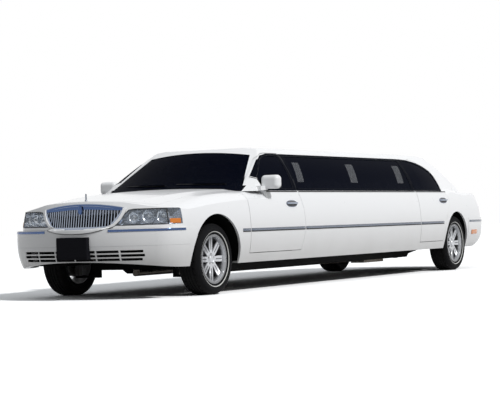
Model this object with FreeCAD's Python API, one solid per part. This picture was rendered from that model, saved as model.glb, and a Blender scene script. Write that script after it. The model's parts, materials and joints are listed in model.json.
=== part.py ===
"""Stretch limousine: body panels, glass, doors, lids, cabin, chassis and wheels.

Millimetres. The car faces -Y, its left (driver's) side is +X, and +Z is up.
The origin is on the ground, under the middle of the car.
"""
import math
import os

import FreeCAD
import Part
from FreeCAD import Vector

# Driving dimensions
WHEELBASE = 6038
FRONT_OVERHANG = 1110       # front axle to the face of the front plate
REAR_OVERHANG = 1425        # rear axle to the back of the rear bumper
SHUT_GAP = 6                # around every panel that opens
SIDE_WALL = 90              # whole thickness of a door or body side below the glass
TOP_WALL = 40               # hood, lid and fender tops
PILLAR_WALL = 45            # whole thickness of a window frame, pillar or roof
GLASS_SETBACK = 6           # outside skin to glass
GLASS = 5                   # thickness of every window
FLOOR_Z = 290               # underside of the sills
SILL_TOP = 385              # bottom edge of the doors
BELT_Z = 1000               # top edge of the door skins
ROOF_Z = 1502               # top of the roof on the centre line
RAIL_Z = 1404               # joint of roof panel and side frames
BUMPER_TOP = 662            # top edge of both bumpers
HOOD_HALF = 700             # centre line to the hood's side seam
LID_HALF = 640              # centre line to the trunk lid's side seam

TYRE_R = 343
TYRE_WIDTH = 238
RIM_R = 238
FRONT_TRACK = 1584
REAR_TRACK = 1617
FRONT_ARCH_R = 436
REAR_ARCH_R = 400
ARCH_LEAD = 35              # the arches' centres lie this far ahead of the axles
ARCH_LIP = 22               # skin left at the edge of an arch
ARCH_RISE = 28              # radial depth of the space behind that edge
KINGPIN_X = 700
SPOKES = 8

LENGTH = FRONT_OVERHANG + WHEELBASE + REAR_OVERHANG
FRONT_AXLE = FRONT_OVERHANG - LENGTH / 2
REAR_AXLE = FRONT_AXLE + WHEELBASE
AXLE_Z = TYRE_R
NOSE = FRONT_AXLE - 980     # front face of the fenders and grille
WIDE = 1400                 # half width of every cutting tool

# Body sides by height: z, half width, nose y and tail y from their axles,
# and the radii of the front and rear corners in plan
BODY_LEVELS = [
    (FLOOR_Z, 930, -960, 1300, 330, 440),
    (SILL_TOP, 958, -975, 1335, 340, 450),
    (620, 983, -985, 1350, 345, 460),
    (820, 968, -955, 1300, 340, 450),
    (BELT_Z, 924, -880, 1130, 330, 430),
    (1080, 893, -830, 1030, 320, 420),
]
# Top of the front, by distance from the front axle: y, z on the centre line, z at the shoulder,
# half width of the raised middle
HOOD_STATIONS = [
    (-1200, 835, 700, 430),
    (-900, 926, 812, 455),
    (-620, 955, 868, 480),
    (-250, 988, 930, 530),
    (150, 1022, 976, 590),
    (650, 1048, 1000, 650),
    (1000, 1056, 1000, 680),
]
HOOD_RIDGE = 9              # height of the crease along the raised middle
# Top of the tail, by distance from the rear axle
DECK_STATIONS = [
    (-300, 1050, 1000, 560),
    (300, 1050, 1000, 560),
    (700, 1040, 985, 560),
    (1000, 1018, 952, 560),
    (1180, 972, 888, 560),
    (1450, 810, 700, 560),
]
SHOULDER_X = 800            # where the top turns down into the body side
SHOULDER_DROP = 150

# Front and rear bumpers by height: z, half width, nose y or tail y from the axle, corner radius
FRONT_BUMPER_LEVELS = [
    (FLOOR_Z - 30, 925, -985, 290),
    (380, 962, -1052, 305),
    (520, 984, -1075, 315),
    (BUMPER_TOP, 984, -1068, 320),
]
REAR_BUMPER_LEVELS = [
    (285, 905, 1140, 400),
    (335, 938, 1295, 450),
    (400, 962, 1385, 480),
    (540, 984, 1423, 500),
    (BUMPER_TOP, 984, 1417, 500),
]
CHIN_ARC = [(-1000, 277), (0, 355), (1000, 277)]     # underside of the front bumper in front view

# Side-view outlines. A pair (y, z) ends a straight edge, four numbers end an arc: its middle, then its end.
# Doors, from their own axle: front edge going up, rear edge going down, and the window in between
FRONT_DOOR = dict(
    axle=FRONT_AXLE,
    front=[(590, SILL_TOP), (590, 960), (700, 1000), (1225, 1333), (1340, 1381, 1520, RAIL_Z)],
    rear=[(1890, RAIL_Z), (1734, 1000), (1765, 820), (1765, 600), (1700, SILL_TOP)],
    window=[(1018, 1026), (975, 1141), (1240, 1309), (1352, 1356, 1524, 1377), (1742, 1377), (1662, 1026)],
)
REAR_DOOR = dict(
    axle=REAR_AXLE,
    front=[(-1210, SILL_TOP), (-1210, 960), (-1240, 1000), (-1175, RAIL_Z)],
    rear=[(-1023, RAIL_Z), (-552, 1362, -310, 1270), (-249, 1160, -250, 1000), (-250, 860), (-345, 745),
          (-455, 560), (-475, SILL_TOP)],
    window=[(-1204, 1026), (-1146, 1377), (-1110, 1377), (-664, 1331, -416, 1242), (-349, 1148, -322, 1026)],
)
# The long fixed window between the doors, from the front axle
MID_WINDOW = [(1775, 1026), (1850, 1377), (WHEELBASE - 1222, 1377), (WHEELBASE - 1284, 1026)]
REAR_SHUT_LEAN = 0.36       # a door's rear edge runs back as it goes outward


def vec(x, y, z):
    return Vector(x, y, z)


def fuse(shapes):
    result = shapes[0]
    return result.fuse(shapes[1:]).removeSplitter() if len(shapes) > 1 else result


def largest(shape):
    """The main solid, without slivers left where two cuts graze."""
    return max(shape.Solids, key=lambda solid: solid.Volume)


def box(x0, x1, y0, y1, z0, z1):
    return Part.makeBox(x1 - x0, y1 - y0, z1 - z0, vec(x0, y0, z0))


def mirrored(shape):
    return shape.mirror(vec(0, 0, 0), vec(1, 0, 0))


def both_sides(shape):
    return Part.makeCompound([shape, mirrored(shape)])


def tube_x(radius, x0, x1, y, z):
    """A cylinder along X."""
    return Part.makeCylinder(radius, x1 - x0, vec(x0, y, z), vec(1, 0, 0))


def arc(a, b, c):
    return Part.Arc(a, b, c).toShape()


def side_wire(points, x):
    """A closed side-view outline: a pair (y, z) ends a straight edge, four numbers end an arc."""
    edges = []
    for start, end in zip(points, points[1:] + points[:1]):
        a, b = vec(x, *start[-2:]), vec(x, *end[-2:])
        edges.append(Part.makeLine(a, b) if len(end) == 2 else arc(a, vec(x, *end[:2]), b))
    return Part.Wire(edges)


def side_prism(points, x0, x1, lean=0, gap=0):
    """A side-view outline carried across from x0 to x1, running back by lean as it goes and grown by gap."""
    wire = side_wire(points, x0)
    if gap:
        grown = wire.makeOffset2D(gap, 2)
        wire = grown if grown.BoundBox.ZLength > wire.BoundBox.ZLength else wire.makeOffset2D(-gap, 2)
    return Part.Face(wire).extrude(vec(x1 - x0, lean * (x1 - x0), 0))


def behind(points, axle):
    """An outline's points moved back by its axle's place."""
    return [(axle + p[0], p[1]) if len(p) == 2 else (axle + p[0], p[1], axle + p[2], p[3]) for p in points]


# ---------------------------------------------------------------- body outline

END_FACE_R = 1500
TAIL_FACE_R = 1900
SIDE_R = 13000              # slow curve of the sides into the corners
TAPER_START = 500           # distance inside each axle where the sides start to curve


def circles_meet(c0, r0, c1, r1, sign):
    gap = math.dist(c0, c1)
    along = (r0 * r0 - r1 * r1 + gap * gap) / (2 * gap)
    across = math.sqrt(r0 * r0 - along * along)
    ux, uy = (c1[0] - c0[0]) / gap, (c1[1] - c0[1]) / gap
    both = [(c0[0] + along * ux + s * across * uy, c0[1] + along * uy - s * across * ux) for s in (1, -1)]
    return min(both, key=lambda p: sign * p[1])


def toward(centre, point, radius):
    gap = math.dist(centre, point)
    return tuple(c + radius * (p - c) / gap for c, p in zip(centre, point))


def end_points(end_y, sign, face_r, corner_r, half_width, taper_y):
    """Plan points of one end: face end, corner middle, corner end, side middle, side end."""
    face_centre = (0, end_y + sign * face_r)
    side_centre = (half_width - SIDE_R, taper_y)
    corner = circles_meet(face_centre, face_r - corner_r, side_centre, SIDE_R - corner_r, sign)
    face_end = toward(face_centre, corner, face_r)
    corner_end = toward(side_centre, corner, SIDE_R)
    corner_middle = toward(corner, ((face_end[0] + corner_end[0]) / 2, (face_end[1] + corner_end[1]) / 2), corner_r)
    side_end = (half_width, taper_y)
    side_middle = toward(side_centre, ((corner_end[0] + side_end[0]) / 2, (corner_end[1] + side_end[1]) / 2), SIDE_R)
    return [face_end, corner_middle, corner_end, side_middle, side_end]


def plan_wire(z, nose_y, tail_y, front_points, rear_points):
    """A closed plan outline: two curved ends joined by straight sides."""
    edges = []
    for side in (1, -1):
        f = [vec(side * x, y, z) for x, y in front_points]
        r = [vec(side * x, y, z) for x, y in rear_points]
        half = [arc(f[0], f[1], f[2]), arc(f[2], f[3], f[4]), Part.makeLine(f[4], r[4]),
                arc(r[4], r[3], r[2]), arc(r[2], r[1], r[0])]
        if side == 1:
            edges += half
            edges.append(arc(r[0], vec(0, tail_y, z), vec(-r[0].x, r[0].y, z)))
        else:
            edges += half[::-1]
            edges.append(arc(f[0], vec(0, nose_y, z), vec(-f[0].x, f[0].y, z)))
    return Part.Wire(edges)


def lofted_plan(levels):
    """levels: z, half width, nose y, tail y, front corner radius, rear corner radius."""
    wires = []
    for z, half, nose, tail, front_r, rear_r in levels:
        front = end_points(nose, 1, END_FACE_R, front_r, half, FRONT_AXLE + TAPER_START)
        rear = end_points(tail, -1, TAIL_FACE_R, rear_r, half, REAR_AXLE - TAPER_START)
        wires.append(plan_wire(z, nose, tail, front, rear))
    return Part.makeLoft(wires, True, False)


def crown_wire(y, z_mid, z_side, ridge_x, lift, low):
    """Cross-section of the body's top: raised middle, crown, rounded shoulders, straight down."""
    x, drop = SHOULDER_X, SHOULDER_DROP
    out = x + 185

    def crown(at):
        return z_side + (z_mid - z_side) * (1 - (at / x) ** 2)

    quarter = (ridge_x + x) / 2
    edges = [arc(vec(-ridge_x, y, crown(ridge_x) + lift), vec(0, y, z_mid), vec(ridge_x, y, crown(ridge_x) + lift))]
    for s in (1, -1):
        ridge, shoulder = vec(s * ridge_x, y, crown(ridge_x) + lift), vec(s * x, y, z_side)
        side = vec(s * out, y, z_side - drop)
        half = [arc(ridge, vec(s * quarter, y, crown(quarter)), shoulder),
                arc(shoulder, vec(s * (x + 115), y, z_side - drop * 0.33), side),
                Part.makeLine(side, vec(s * out, y, low))]
        edges = edges + half if s == 1 else half[::-1] + edges
    edges.append(Part.makeLine(vec(out, y, low), vec(-out, y, low)))
    return Part.Wire(edges)


def crown_loft(stations, axle, inset, lift):
    wires = [crown_wire(axle + y, a - inset, b - inset, ridge, lift, 100) for y, a, b, ridge in stations]
    return Part.makeLoft(wires, True, False)


def lower_body(side_inset, top_inset):
    """Everything below the glass as one solid, shrunk by the two insets."""
    levels = [(z, half - side_inset, FRONT_AXLE + nose + side_inset, REAR_AXLE + tail - side_inset,
               fr - side_inset * 0.6, rr - side_inset * 0.6) for z, half, nose, tail, fr, rr in BODY_LEVELS]
    if side_inset:
        levels[0] = (FLOOR_Z - 30,) + levels[0][1:]
    hull = lofted_plan(levels)
    front = hull.common(crown_loft(HOOD_STATIONS, FRONT_AXLE, top_inset, HOOD_RIDGE))
    rear = hull.common(crown_loft(DECK_STATIONS, REAR_AXLE, top_inset, 0))
    front_end = FRONT_AXLE + HOOD_STATIONS[-1][0]
    rear_start = REAR_AXLE + DECK_STATIONS[0][0]
    middle = hull.common(box(-WIDE, WIDE, front_end, rear_start, 100, BELT_Z - top_inset))
    return fuse([front, middle, rear])


def bumper_body(levels, is_front, inset):
    """A bumper's own bulge, from the corner of the arch to the end of the car."""
    rows = []
    for z, half, end, corner in levels:
        nose = FRONT_AXLE + end + inset if is_front else FRONT_AXLE - 900
        tail = REAR_AXLE + 1300 if is_front else REAR_AXLE + end - inset
        rows.append((z, half - inset, nose, tail, corner - inset * 0.6, corner - inset * 0.6))
    if inset:
        rows[0] = (rows[0][0] - 30,) + rows[0][1:]
        rows[-1] = (rows[-1][0] + 30,) + rows[-1][1:]
    return lofted_plan(rows)


# ---------------------------------------------------------------- greenhouse

GLASS_FOOT = (918, 990)      # x, z where the side glass leaves the belt
GLASS_TOP = (655, RAIL_Z)    # x, z where it meets the roof rail
ROOF_EDGE = (560, 1455)
SCREEN_FOOT_Y = 545          # windshield on the centre line, behind the front axle, at SCREEN_Z
SCREEN_Z = 1045
SCREEN_SLOPE = 1.78          # run back for each unit of rise
SCREEN_R = 1500
BACK_FOOT_Y = 640            # rear window on the centre line, behind the rear axle, at SCREEN_Z
BACK_SLOPE = 1.95
BACK_R = 1700
# How the cabin narrows at the tail: distance from the rear axle, share of full width
CABIN_TAIL = [(-900, 1.0), (-600, 0.985), (-300, 0.955), (0, 0.915), (400, 0.86), (800, 0.80)]


def cabin_wire(y, share, inset):
    """Cross-section of the glass, roof edge and roof."""
    foot_x, foot_z = (GLASS_FOOT[0] - inset) * share, GLASS_FOOT[1]
    top_x, top_z = (GLASS_TOP[0] - inset) * share, GLASS_TOP[1] - inset * 0.3
    edge_x, edge_z = (ROOF_EDGE[0] - inset * 0.5) * share, ROOF_EDGE[1] - inset
    roof_z = ROOF_Z - inset
    edges = []
    glass = []
    for s in (1, -1):
        foot, top, edge = vec(s * foot_x, y, foot_z), vec(s * top_x, y, top_z), vec(s * edge_x, y, edge_z)
        mid = vec(s * ((foot_x + top_x) / 2 + 22), y, (foot_z + top_z) / 2 + 12)
        turn = vec(s * ((top_x + edge_x) / 2 + 14), y, (top_z + edge_z) / 2 + 12)
        glass.append([Part.makeLine(vec(s * foot_x, y, 900), foot), arc(foot, mid, top), arc(top, turn, edge)])
    roof = arc(vec(edge_x, y, edge_z), vec(0, y, roof_z), vec(-edge_x, y, edge_z))
    base = Part.makeLine(vec(-foot_x, y, 900), vec(foot_x, y, 900))
    edges = glass[0] + [roof] + glass[1][::-1] + [base]
    return Part.Wire(edges)


def screen_slab(inset, grow=0):
    """Everything behind the curved windshield surface."""
    foot_y = FRONT_AXLE + SCREEN_FOOT_Y + inset * 1.8 + grow
    half = 1000
    sag = SCREEN_R - math.sqrt(SCREEN_R ** 2 - half ** 2)
    drop = 200
    y0 = foot_y - drop * SCREEN_SLOPE
    z0 = SCREEN_Z - drop
    front = arc(vec(-half, y0 + sag, z0), vec(0, y0, z0), vec(half, y0 + sag, z0))
    back = y0 + 9000
    rest = [Part.makeLine(vec(half, y0 + sag, z0), vec(half, back, z0)),
            Part.makeLine(vec(half, back, z0), vec(-half, back, z0)),
            Part.makeLine(vec(-half, back, z0), vec(-half, y0 + sag, z0))]
    rise = 800
    return Part.Face(Part.Wire([front] + rest)).extrude(vec(0, rise * SCREEN_SLOPE, rise))


def back_slab(inset, grow=0):
    """Everything in front of the curved rear window surface."""
    foot_y = REAR_AXLE + BACK_FOOT_Y - inset * 1.8 - grow
    half = 1000
    sag = BACK_R - math.sqrt(BACK_R ** 2 - half ** 2)
    drop = 200
    y0 = foot_y + drop * BACK_SLOPE
    z0 = SCREEN_Z - drop
    rear = arc(vec(-half, y0 - sag, z0), vec(0, y0, z0), vec(half, y0 - sag, z0))
    front = y0 - 9000
    rest = [Part.makeLine(vec(half, y0 - sag, z0), vec(half, front, z0)),
            Part.makeLine(vec(half, front, z0), vec(-half, front, z0)),
            Part.makeLine(vec(-half, front, z0), vec(-half, y0 - sag, z0))]
    rise = 800
    return Part.Face(Part.Wire([rear] + rest)).extrude(vec(0, -rise * BACK_SLOPE, rise))


def roof_profile(inset):
    """Side view of the roof: it falls slightly to both ends."""
    top = ROOF_Z - inset
    f0, f1, f2 = FRONT_AXLE + 900, FRONT_AXLE + 1650, FRONT_AXLE + 2700
    r0, r1, r2 = REAR_AXLE - 2100, REAR_AXLE - 900, REAR_AXLE + 100
    x = -WIDE
    edges = [arc(vec(x, f0, top - 78), vec(x, f1, top - 20), vec(x, f2, top)),
             Part.makeLine(vec(x, f2, top), vec(x, r0, top)),
             arc(vec(x, r0, top), vec(x, r1, top - 22), vec(x, r2, top - 84)),
             Part.makeLine(vec(x, r2, top - 84), vec(x, r2 + 1200, top - 200)),
             Part.makeLine(vec(x, r2 + 1200, top - 200), vec(x, r2 + 1200, 700)),
             Part.makeLine(vec(x, r2 + 1200, 700), vec(x, f0 - 1200, 700)),
             Part.makeLine(vec(x, f0 - 1200, 700), vec(x, f0 - 1200, top - 200)),
             Part.makeLine(vec(x, f0 - 1200, top - 200), vec(x, f0, top - 78))]
    return Part.Face(Part.Wire(edges)).extrude(vec(2 * WIDE, 0, 0))


def cabin_section(inset):
    """The cabin's section run along the car, narrowing at the tail."""
    start = FRONT_AXLE + 200
    joint = REAR_AXLE + CABIN_TAIL[0][0]
    straight = Part.Face(cabin_wire(start, 1.0, inset)).extrude(vec(0, joint - start, 0))
    tail = Part.makeLoft([cabin_wire(REAR_AXLE + y, s, inset) for y, s in CABIN_TAIL], True, False)
    return fuse([straight, tail])


def cabin(inset):
    """The glasshouse above the belt as one solid, shrunk by inset."""
    section = cabin_section(inset).common(screen_slab(inset))
    return section.common(back_slab(inset)).common(roof_profile(inset))


# ---------------------------------------------------------------- shut lines

DOOR_INNER_X = 815          # a door's inner face below DOOR_INNER_TOP
DOOR_INNER_TOP = 1060
DOOR_SKIN_X = 975           # where the rear edges of the doors are drawn
ZONE_X = 400                # cutting tools for the sides start here
FAR = 4000                  # open end of a cutting tool
FAR_END = 6000              # beyond either end of the car


def door_zone(door, side, gap):
    """The space one door takes in the body side; gap widens it on every side."""
    axle = door["axle"]
    far_front, far_back = axle - FAR, axle + FAR
    front_edge = behind(door["front"], axle) + [(far_back, RAIL_Z), (far_back, SILL_TOP)]
    shift = REAR_SHUT_LEAN * (ZONE_X - DOOR_SKIN_X)
    rear_edge = behind(door["rear"], axle + shift) + [(far_front, SILL_TOP), (far_front, RAIL_Z)]
    zone = side_prism(front_edge, ZONE_X, WIDE, 0, gap)
    zone = zone.common(side_prism(rear_edge, ZONE_X, WIDE, REAR_SHUT_LEAN, gap))
    zone = zone.cut(box(0, DOOR_INNER_X, -FAR_END, FAR_END, 0, DOOR_INNER_TOP))
    return zone if side > 0 else mirrored(zone)


def window_zone(points, axle, side):
    zone = side_prism(behind(points, axle), ZONE_X, WIDE)
    return zone if side > 0 else mirrored(zone)


HOOD_FRONT = (-905, -690)    # front edge behind the front axle: on the centre line, at the side seam
HOOD_BACK = (480, 655)
LID_FRONT = (700, 575)       # front edge behind the rear axle: on the centre line, at the side seam
LID_LOW = 700
EDGE_LEAN = 0.25             # the hood's front edge leans forward as it rises
CUT_LOW = 680


def plan_zone(half, front, back, lean=0.0):
    """A plan area with curved front and back edges, carried upward; front and back are (centre y, side y)."""
    z0, rise = CUT_LOW, 700
    edges = [arc(vec(-half, front[1], z0), vec(0, front[0], z0), vec(half, front[1], z0)),
             Part.makeLine(vec(half, front[1], z0), vec(half, back[1], z0)),
             arc(vec(half, back[1], z0), vec(0, back[0], z0), vec(-half, back[1], z0)),
             Part.makeLine(vec(-half, back[1], z0), vec(-half, front[1], z0))]
    return Part.Face(Part.Wire(edges)).extrude(vec(0, -lean * rise, rise))


def hood_zone(gap):
    """The hood's space: side seams, a leaning curved front edge and a curved back edge."""
    half = HOOD_HALF + gap
    lift = EDGE_LEAN * (HOOD_STATIONS[1][1] - CUT_LOW)
    front = [FRONT_AXLE + y - gap for y in HOOD_FRONT]
    back = [FRONT_AXLE + y + gap for y in HOOD_BACK]
    leaning = plan_zone(half, [y + lift for y in front], [y + 3000 for y in back], EDGE_LEAN)
    return leaning.common(plan_zone(half, [y - 600 for y in front], back))


def lid_zone(gap):
    half = LID_HALF + gap
    front = [REAR_AXLE + y - gap for y in LID_FRONT]
    back = [REAR_AXLE + 1700, REAR_AXLE + 1700.5]
    zone = plan_zone(half, front, back)
    return zone.cut(box(-WIDE, WIDE, 0, 6000, 0, LID_LOW - gap))


def arch_cuts(rise=0):
    return [tube_x(FRONT_ARCH_R + rise, -WIDE, WIDE, FRONT_AXLE - ARCH_LEAD, AXLE_Z),
            tube_x(REAR_ARCH_R + rise, -WIDE, WIDE, REAR_AXLE - ARCH_LEAD, AXLE_Z)]


def arch_recesses(skin):
    """The wider space behind each arch's edge, inside the given hull."""
    return [tube.common(skin) for tube in arch_cuts(ARCH_RISE)]


# ---------------------------------------------------------------- panels

COWL_BACK = 860             # cabin side of the firewall top, behind the front axle
SHELF_FRONT = 180           # cabin side of the rear shelf, behind the rear axle
FENDER_BACK = 584           # joint of fender and body side, behind the front axle
NOSE_BACK = -600            # joint of nose panel and fender
BUMPER_BACK = 400           # inner end of a bumper's side, from its axle
BUMPER_WALL = 80

# Front view outlines (x, z) of the openings for one headlamp, the grille and one tail lamp
LAMP_OUTLINE = [(380, 690), (492, 838), (640, 846), (1000, 846), (1000, 702), (800, 690)]
GRILLE_TOP = [(-448, 862), (0, 905), (448, 862)]
GRILLE_LOW = [(430, 800), (345, 690), (220, BUMPER_TOP)]
TAIL_OUTLINE = [(LID_HALF + 12, 716), (LID_HALF + 12, 880), (1000, 880), (1000, 716)]
LAMP_GAP = 0.3
LAMP_TOP = 846
PILLAR_BACK = FRONT_AXLE + 1500     # the roof panel carries the windshield pillars this far back


def front_prism(points, y0, y1):
    """A front-view outline (x, z) carried along Y."""
    wire = Part.makePolygon([vec(x, y0, z) for x, z in points + points[:1]])
    return Part.Face(wire).extrude(vec(0, y1 - y0, 0))


def grille_prism(shrink, y0, y1):
    """The grille's opening: curved top edge, sides closing to the bumper."""
    a, m, b = GRILLE_TOP
    grow = [vec(a[0] + shrink, y0, a[1] - shrink), vec(m[0], y0, m[1] - shrink), vec(b[0] - shrink, y0, b[1] - shrink)]
    right = [vec(x - shrink, y0, z + (shrink if z == BUMPER_TOP else 0)) for x, z in GRILLE_LOW]
    left = [vec(-p.x, p.y, p.z) for p in right]
    line = [grow[2]] + right + left[::-1] + [grow[0]]
    edges = [arc(grow[0], grow[1], grow[2])] + [Part.makeLine(p, q) for p, q in zip(line, line[1:])]
    return Part.Face(Part.Wire(edges)).extrude(vec(0, y1 - y0, 0))


def screen_prism(gap):
    """Front-view outline of the windshield opening, run back through the pillars."""
    y0, y1 = FRONT_AXLE + 200, FRONT_AXLE + 1420
    low, high = 980, 1386
    edges = [arc(vec(-605 + gap, y0, high - gap), vec(0, y0, high + 42 - gap), vec(605 - gap, y0, high - gap)),
             Part.makeLine(vec(605 - gap, y0, high - gap), vec(826 - gap, y0, low)),
             Part.makeLine(vec(826 - gap, y0, low), vec(-826 + gap, y0, low)),
             Part.makeLine(vec(-826 + gap, y0, low), vec(-605 + gap, y0, high - gap))]
    return Part.Face(Part.Wire(edges)).extrude(vec(0, y1 - y0, 0))


def back_prism(gap):
    y0, y1 = REAR_AXLE - 500, REAR_AXLE + 900
    low, high = 980, 1370
    edges = [arc(vec(-560 + gap, y0, high - gap), vec(0, y0, high + 38 - gap), vec(560 - gap, y0, high - gap)),
             Part.makeLine(vec(560 - gap, y0, high - gap), vec(690 - gap, y0, low)),
             Part.makeLine(vec(690 - gap, y0, low), vec(-690 + gap, y0, low)),
             Part.makeLine(vec(-690 + gap, y0, low), vec(-560 + gap, y0, high - gap))]
    return Part.Face(Part.Wire(edges)).extrude(vec(0, y1 - y0, 0))


def build_panels(nodes):
    solid_low = lower_body(0, 0)
    inner_low = lower_body(SIDE_WALL, TOP_WALL)
    throat = box(-820, 820, FRONT_AXLE + COWL_BACK, REAR_AXLE + SHELF_FRONT, 700, 1300)
    recesses = arch_recesses(lower_body(ARCH_LIP, ARCH_LIP))
    low = solid_low.cut([inner_low, throat] + arch_cuts() + recesses)
    windows = [screen_prism(0), back_prism(0)]
    for side in (1, -1):
        windows.append(window_zone(FRONT_DOOR["window"], FRONT_AXLE, side))
        windows.append(window_zone(REAR_DOOR["window"], REAR_AXLE, side))
        windows.append(window_zone(MID_WINDOW, FRONT_AXLE, side))
    top = cabin(0).cut([cabin(PILLAR_WALL), solid_low, box(-WIDE, WIDE, -6000, 6000, 800, BELT_Z)])
    frame = top.cut(windows)
    glass = cabin(GLASS_SETBACK).cut([cabin(GLASS_SETBACK + GLASS), solid_low])

    bumper_space = [box(-WIDE, WIDE, -6000, FRONT_AXLE - BUMPER_BACK, 0, BUMPER_TOP),
                    box(-WIDE, WIDE, REAR_AXLE + BUMPER_BACK, 6000, 0, BUMPER_TOP)]
    lamp_space = [front_prism(LAMP_OUTLINE, -5000, FRONT_AXLE + NOSE_BACK)]
    lamp_space.append(mirrored(lamp_space[0]))
    tail_space = [front_prism(TAIL_OUTLINE, REAR_AXLE + 950, 5000)]
    tail_space.append(mirrored(tail_space[0]))
    low = low.cut(bumper_space)

    nodes["hood"] = low.common(hood_zone(0))
    nodes["trunk_lid"] = low.common(lid_zone(0))
    pillars = frame.common(box(-WIDE, WIDE, -6000, PILLAR_BACK, 800, RAIL_Z))
    roof = fuse([frame.common(box(-WIDE, WIDE, -6000, 6000, RAIL_Z, 2000)), pillars])
    nodes["roof"] = largest(roof.cut([door_zone(FRONT_DOOR, side, SHUT_GAP) for side in (1, -1)]))
    fixed = low.cut([hood_zone(SHUT_GAP), lid_zone(SHUT_GAP)])
    cowl_space = box(-HOOD_HALF, HOOD_HALF, FRONT_AXLE, FRONT_AXLE + COWL_BACK, 800, 1300)
    shelf_space = box(-LID_HALF, LID_HALF, REAR_AXLE + SHELF_FRONT, REAR_AXLE + 1000, 800, 1300)
    nodes["cowl"] = largest(fixed.common(cowl_space))
    nodes["rear_shelf"] = largest(fixed.common(shelf_space))
    nose_space = [box(-WIDE, WIDE, -6000, FRONT_AXLE + NOSE_BACK, BUMPER_TOP, LAMP_TOP),
                  box(-HOOD_HALF - SHUT_GAP, HOOD_HALF + SHUT_GAP, -6000, FRONT_AXLE + NOSE_BACK, BUMPER_TOP, 1300)]
    nose = fixed.common(fuse(nose_space))
    nodes["nose_panel"] = nose.cut(lamp_space + [grille_prism(0, -5000, FRONT_AXLE)])
    nodes["tail_panel"] = fixed.common(box(-LID_HALF - 6, LID_HALF + 6, REAR_AXLE + 1000, 6000, 600, 1300))
    lamp = solid_low.common(front_prism(shrunk(LAMP_OUTLINE, LAMP_GAP), -5000, FRONT_AXLE + NOSE_BACK - LAMP_GAP))
    lamp = lamp.cut([lower_body(SIDE_WALL, TOP_WALL + 60), hood_zone(SHUT_GAP)])
    nodes["headlamps"] = both_sides(lamp)
    tail = low.common(front_prism(shrunk(TAIL_OUTLINE, LAMP_GAP), REAR_AXLE + 950 + LAMP_GAP, 5000))
    nodes["tail_lamps"] = both_sides(tail)
    nodes["grille_frame"] = grille_frame(solid_low)
    nodes["grille_bars"] = grille_bars()

    nodes["windshield"] = glass.common(screen_prism(0))
    nodes["rear_window"] = glass.common(back_prism(0))

    middle = box(0, WIDE, FRONT_AXLE + FENDER_BACK, 6000, 0, RAIL_Z)
    fender = fuse([box(0, WIDE, -6000, FRONT_AXLE + FENDER_BACK, 0, 1300),
                   box(HOOD_HALF, WIDE, FRONT_AXLE, FRONT_AXLE + COWL_BACK + 200, 940, 1300)])
    fender = fender.cut(cowl_space)
    tail_box = box(-LID_HALF - SHUT_GAP, LID_HALF + SHUT_GAP, REAR_AXLE + 1000, 6000, 600, 1300)
    side_low = fixed.common(middle).cut([cowl_space, shelf_space, tail_box] + tail_space[:1])
    side_top = frame.common(box(0, WIDE, PILLAR_BACK, 6000, 800, RAIL_Z))
    doors = [(FRONT_DOOR, "front"), (REAR_DOOR, "rear")]
    side = fuse([side_low, side_top]).cut([door_zone(d, 1, SHUT_GAP) for d, _ in doors])
    nodes["body_side_left"] = largest(side.cut(fender))
    nodes["fenders"] = both_sides(largest(fixed.common(fender).cut(nose_space + [door_zone(FRONT_DOOR, 1, SHUT_GAP)])))
    whole = fuse([low.common(middle), frame.common(box(0, WIDE, -6000, 6000, 800, RAIL_Z))])
    for door, name in doors:
        nodes["door_%s_left" % name] = largest(whole.common(door_zone(door, 1, 0)))
        nodes["door_glass_%s_left" % name] = glass.common(window_zone(door["window"], door["axle"], 1))
    nodes["side_glass"] = both_sides(glass.common(window_zone(MID_WINDOW, FRONT_AXLE, 1)))
    for name in [n for n in nodes if n.endswith("_left")]:
        nodes[name[:-4] + "right"] = mirrored(nodes[name])

    for is_front, levels, name in ((True, FRONT_BUMPER_LEVELS, "front_bumper"), (False, REAR_BUMPER_LEVELS, "rear_bumper")):
        space = bumper_space[0 if is_front else 1]
        outside = bumper_body(levels, is_front, 0).common(space)
        inside = bumper_body(levels, is_front, BUMPER_WALL)
        recess = arch_recesses(bumper_body(levels, is_front, ARCH_LIP))[0 if is_front else 1]
        nodes[name] = outside.cut(inside).cut(arch_cuts() + [recess])
    nodes["front_bumper"] = nodes["front_bumper"].cut([chin_space()] + intake_slots())


def chin_space():
    """Everything below the front bumper's curved underside."""
    a, b, c = [vec(x, -FAR_END, z) for x, z in CHIN_ARC]
    low = [vec(c.x, c.y, 0), vec(a.x, a.y, 0)]
    edges = [arc(a, b, c), Part.makeLine(c, low[0]), Part.makeLine(low[0], low[1]), Part.makeLine(low[1], a)]
    return Part.Face(Part.Wire(edges)).extrude(vec(0, FAR_END + FRONT_AXLE - BUMPER_BACK, 0))


SLOT_ROWS = [(376, 655), (413, 680), (450, 670)]     # middle height and half length of each intake slot
SLOT_HEIGHT = 24
SLOT_COUNT = 6               # slots in each row, so that the upright bars stand in line
SLOT_PITCH = 230             # between the upright bars
SLOT_BAR = 12


def intake_slots():
    """Three rows of slots, divided by narrow upright bars."""
    slots = []
    for z, half in SLOT_ROWS:
        for i in range(SLOT_COUNT):
            x0 = (i - SLOT_COUNT / 2) * SLOT_PITCH + SLOT_BAR / 2
            x0, x1 = max(x0, -half), min(x0 + SLOT_PITCH - SLOT_BAR, half)
            slots.append(box(x0, x1, -FAR_END, FRONT_AXLE - 800, z - SLOT_HEIGHT / 2, z + SLOT_HEIGHT / 2))
    return slots


def shrunk(points, gap):
    """A convex outline moved inward by gap."""
    wire = Part.makePolygon([vec(x, 0, z) for x, z in points + points[:1]])
    smaller = wire.makeOffset2D(-gap, 2)
    if smaller.BoundBox.XLength > wire.BoundBox.XLength:
        smaller = wire.makeOffset2D(gap, 2)
    return [(v.X, v.Z) for v in smaller.OrderedVertexes]


GRILLE_BARS = 30
BAR_WIDTH = 9
BAR_DEPTH = 22


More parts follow.
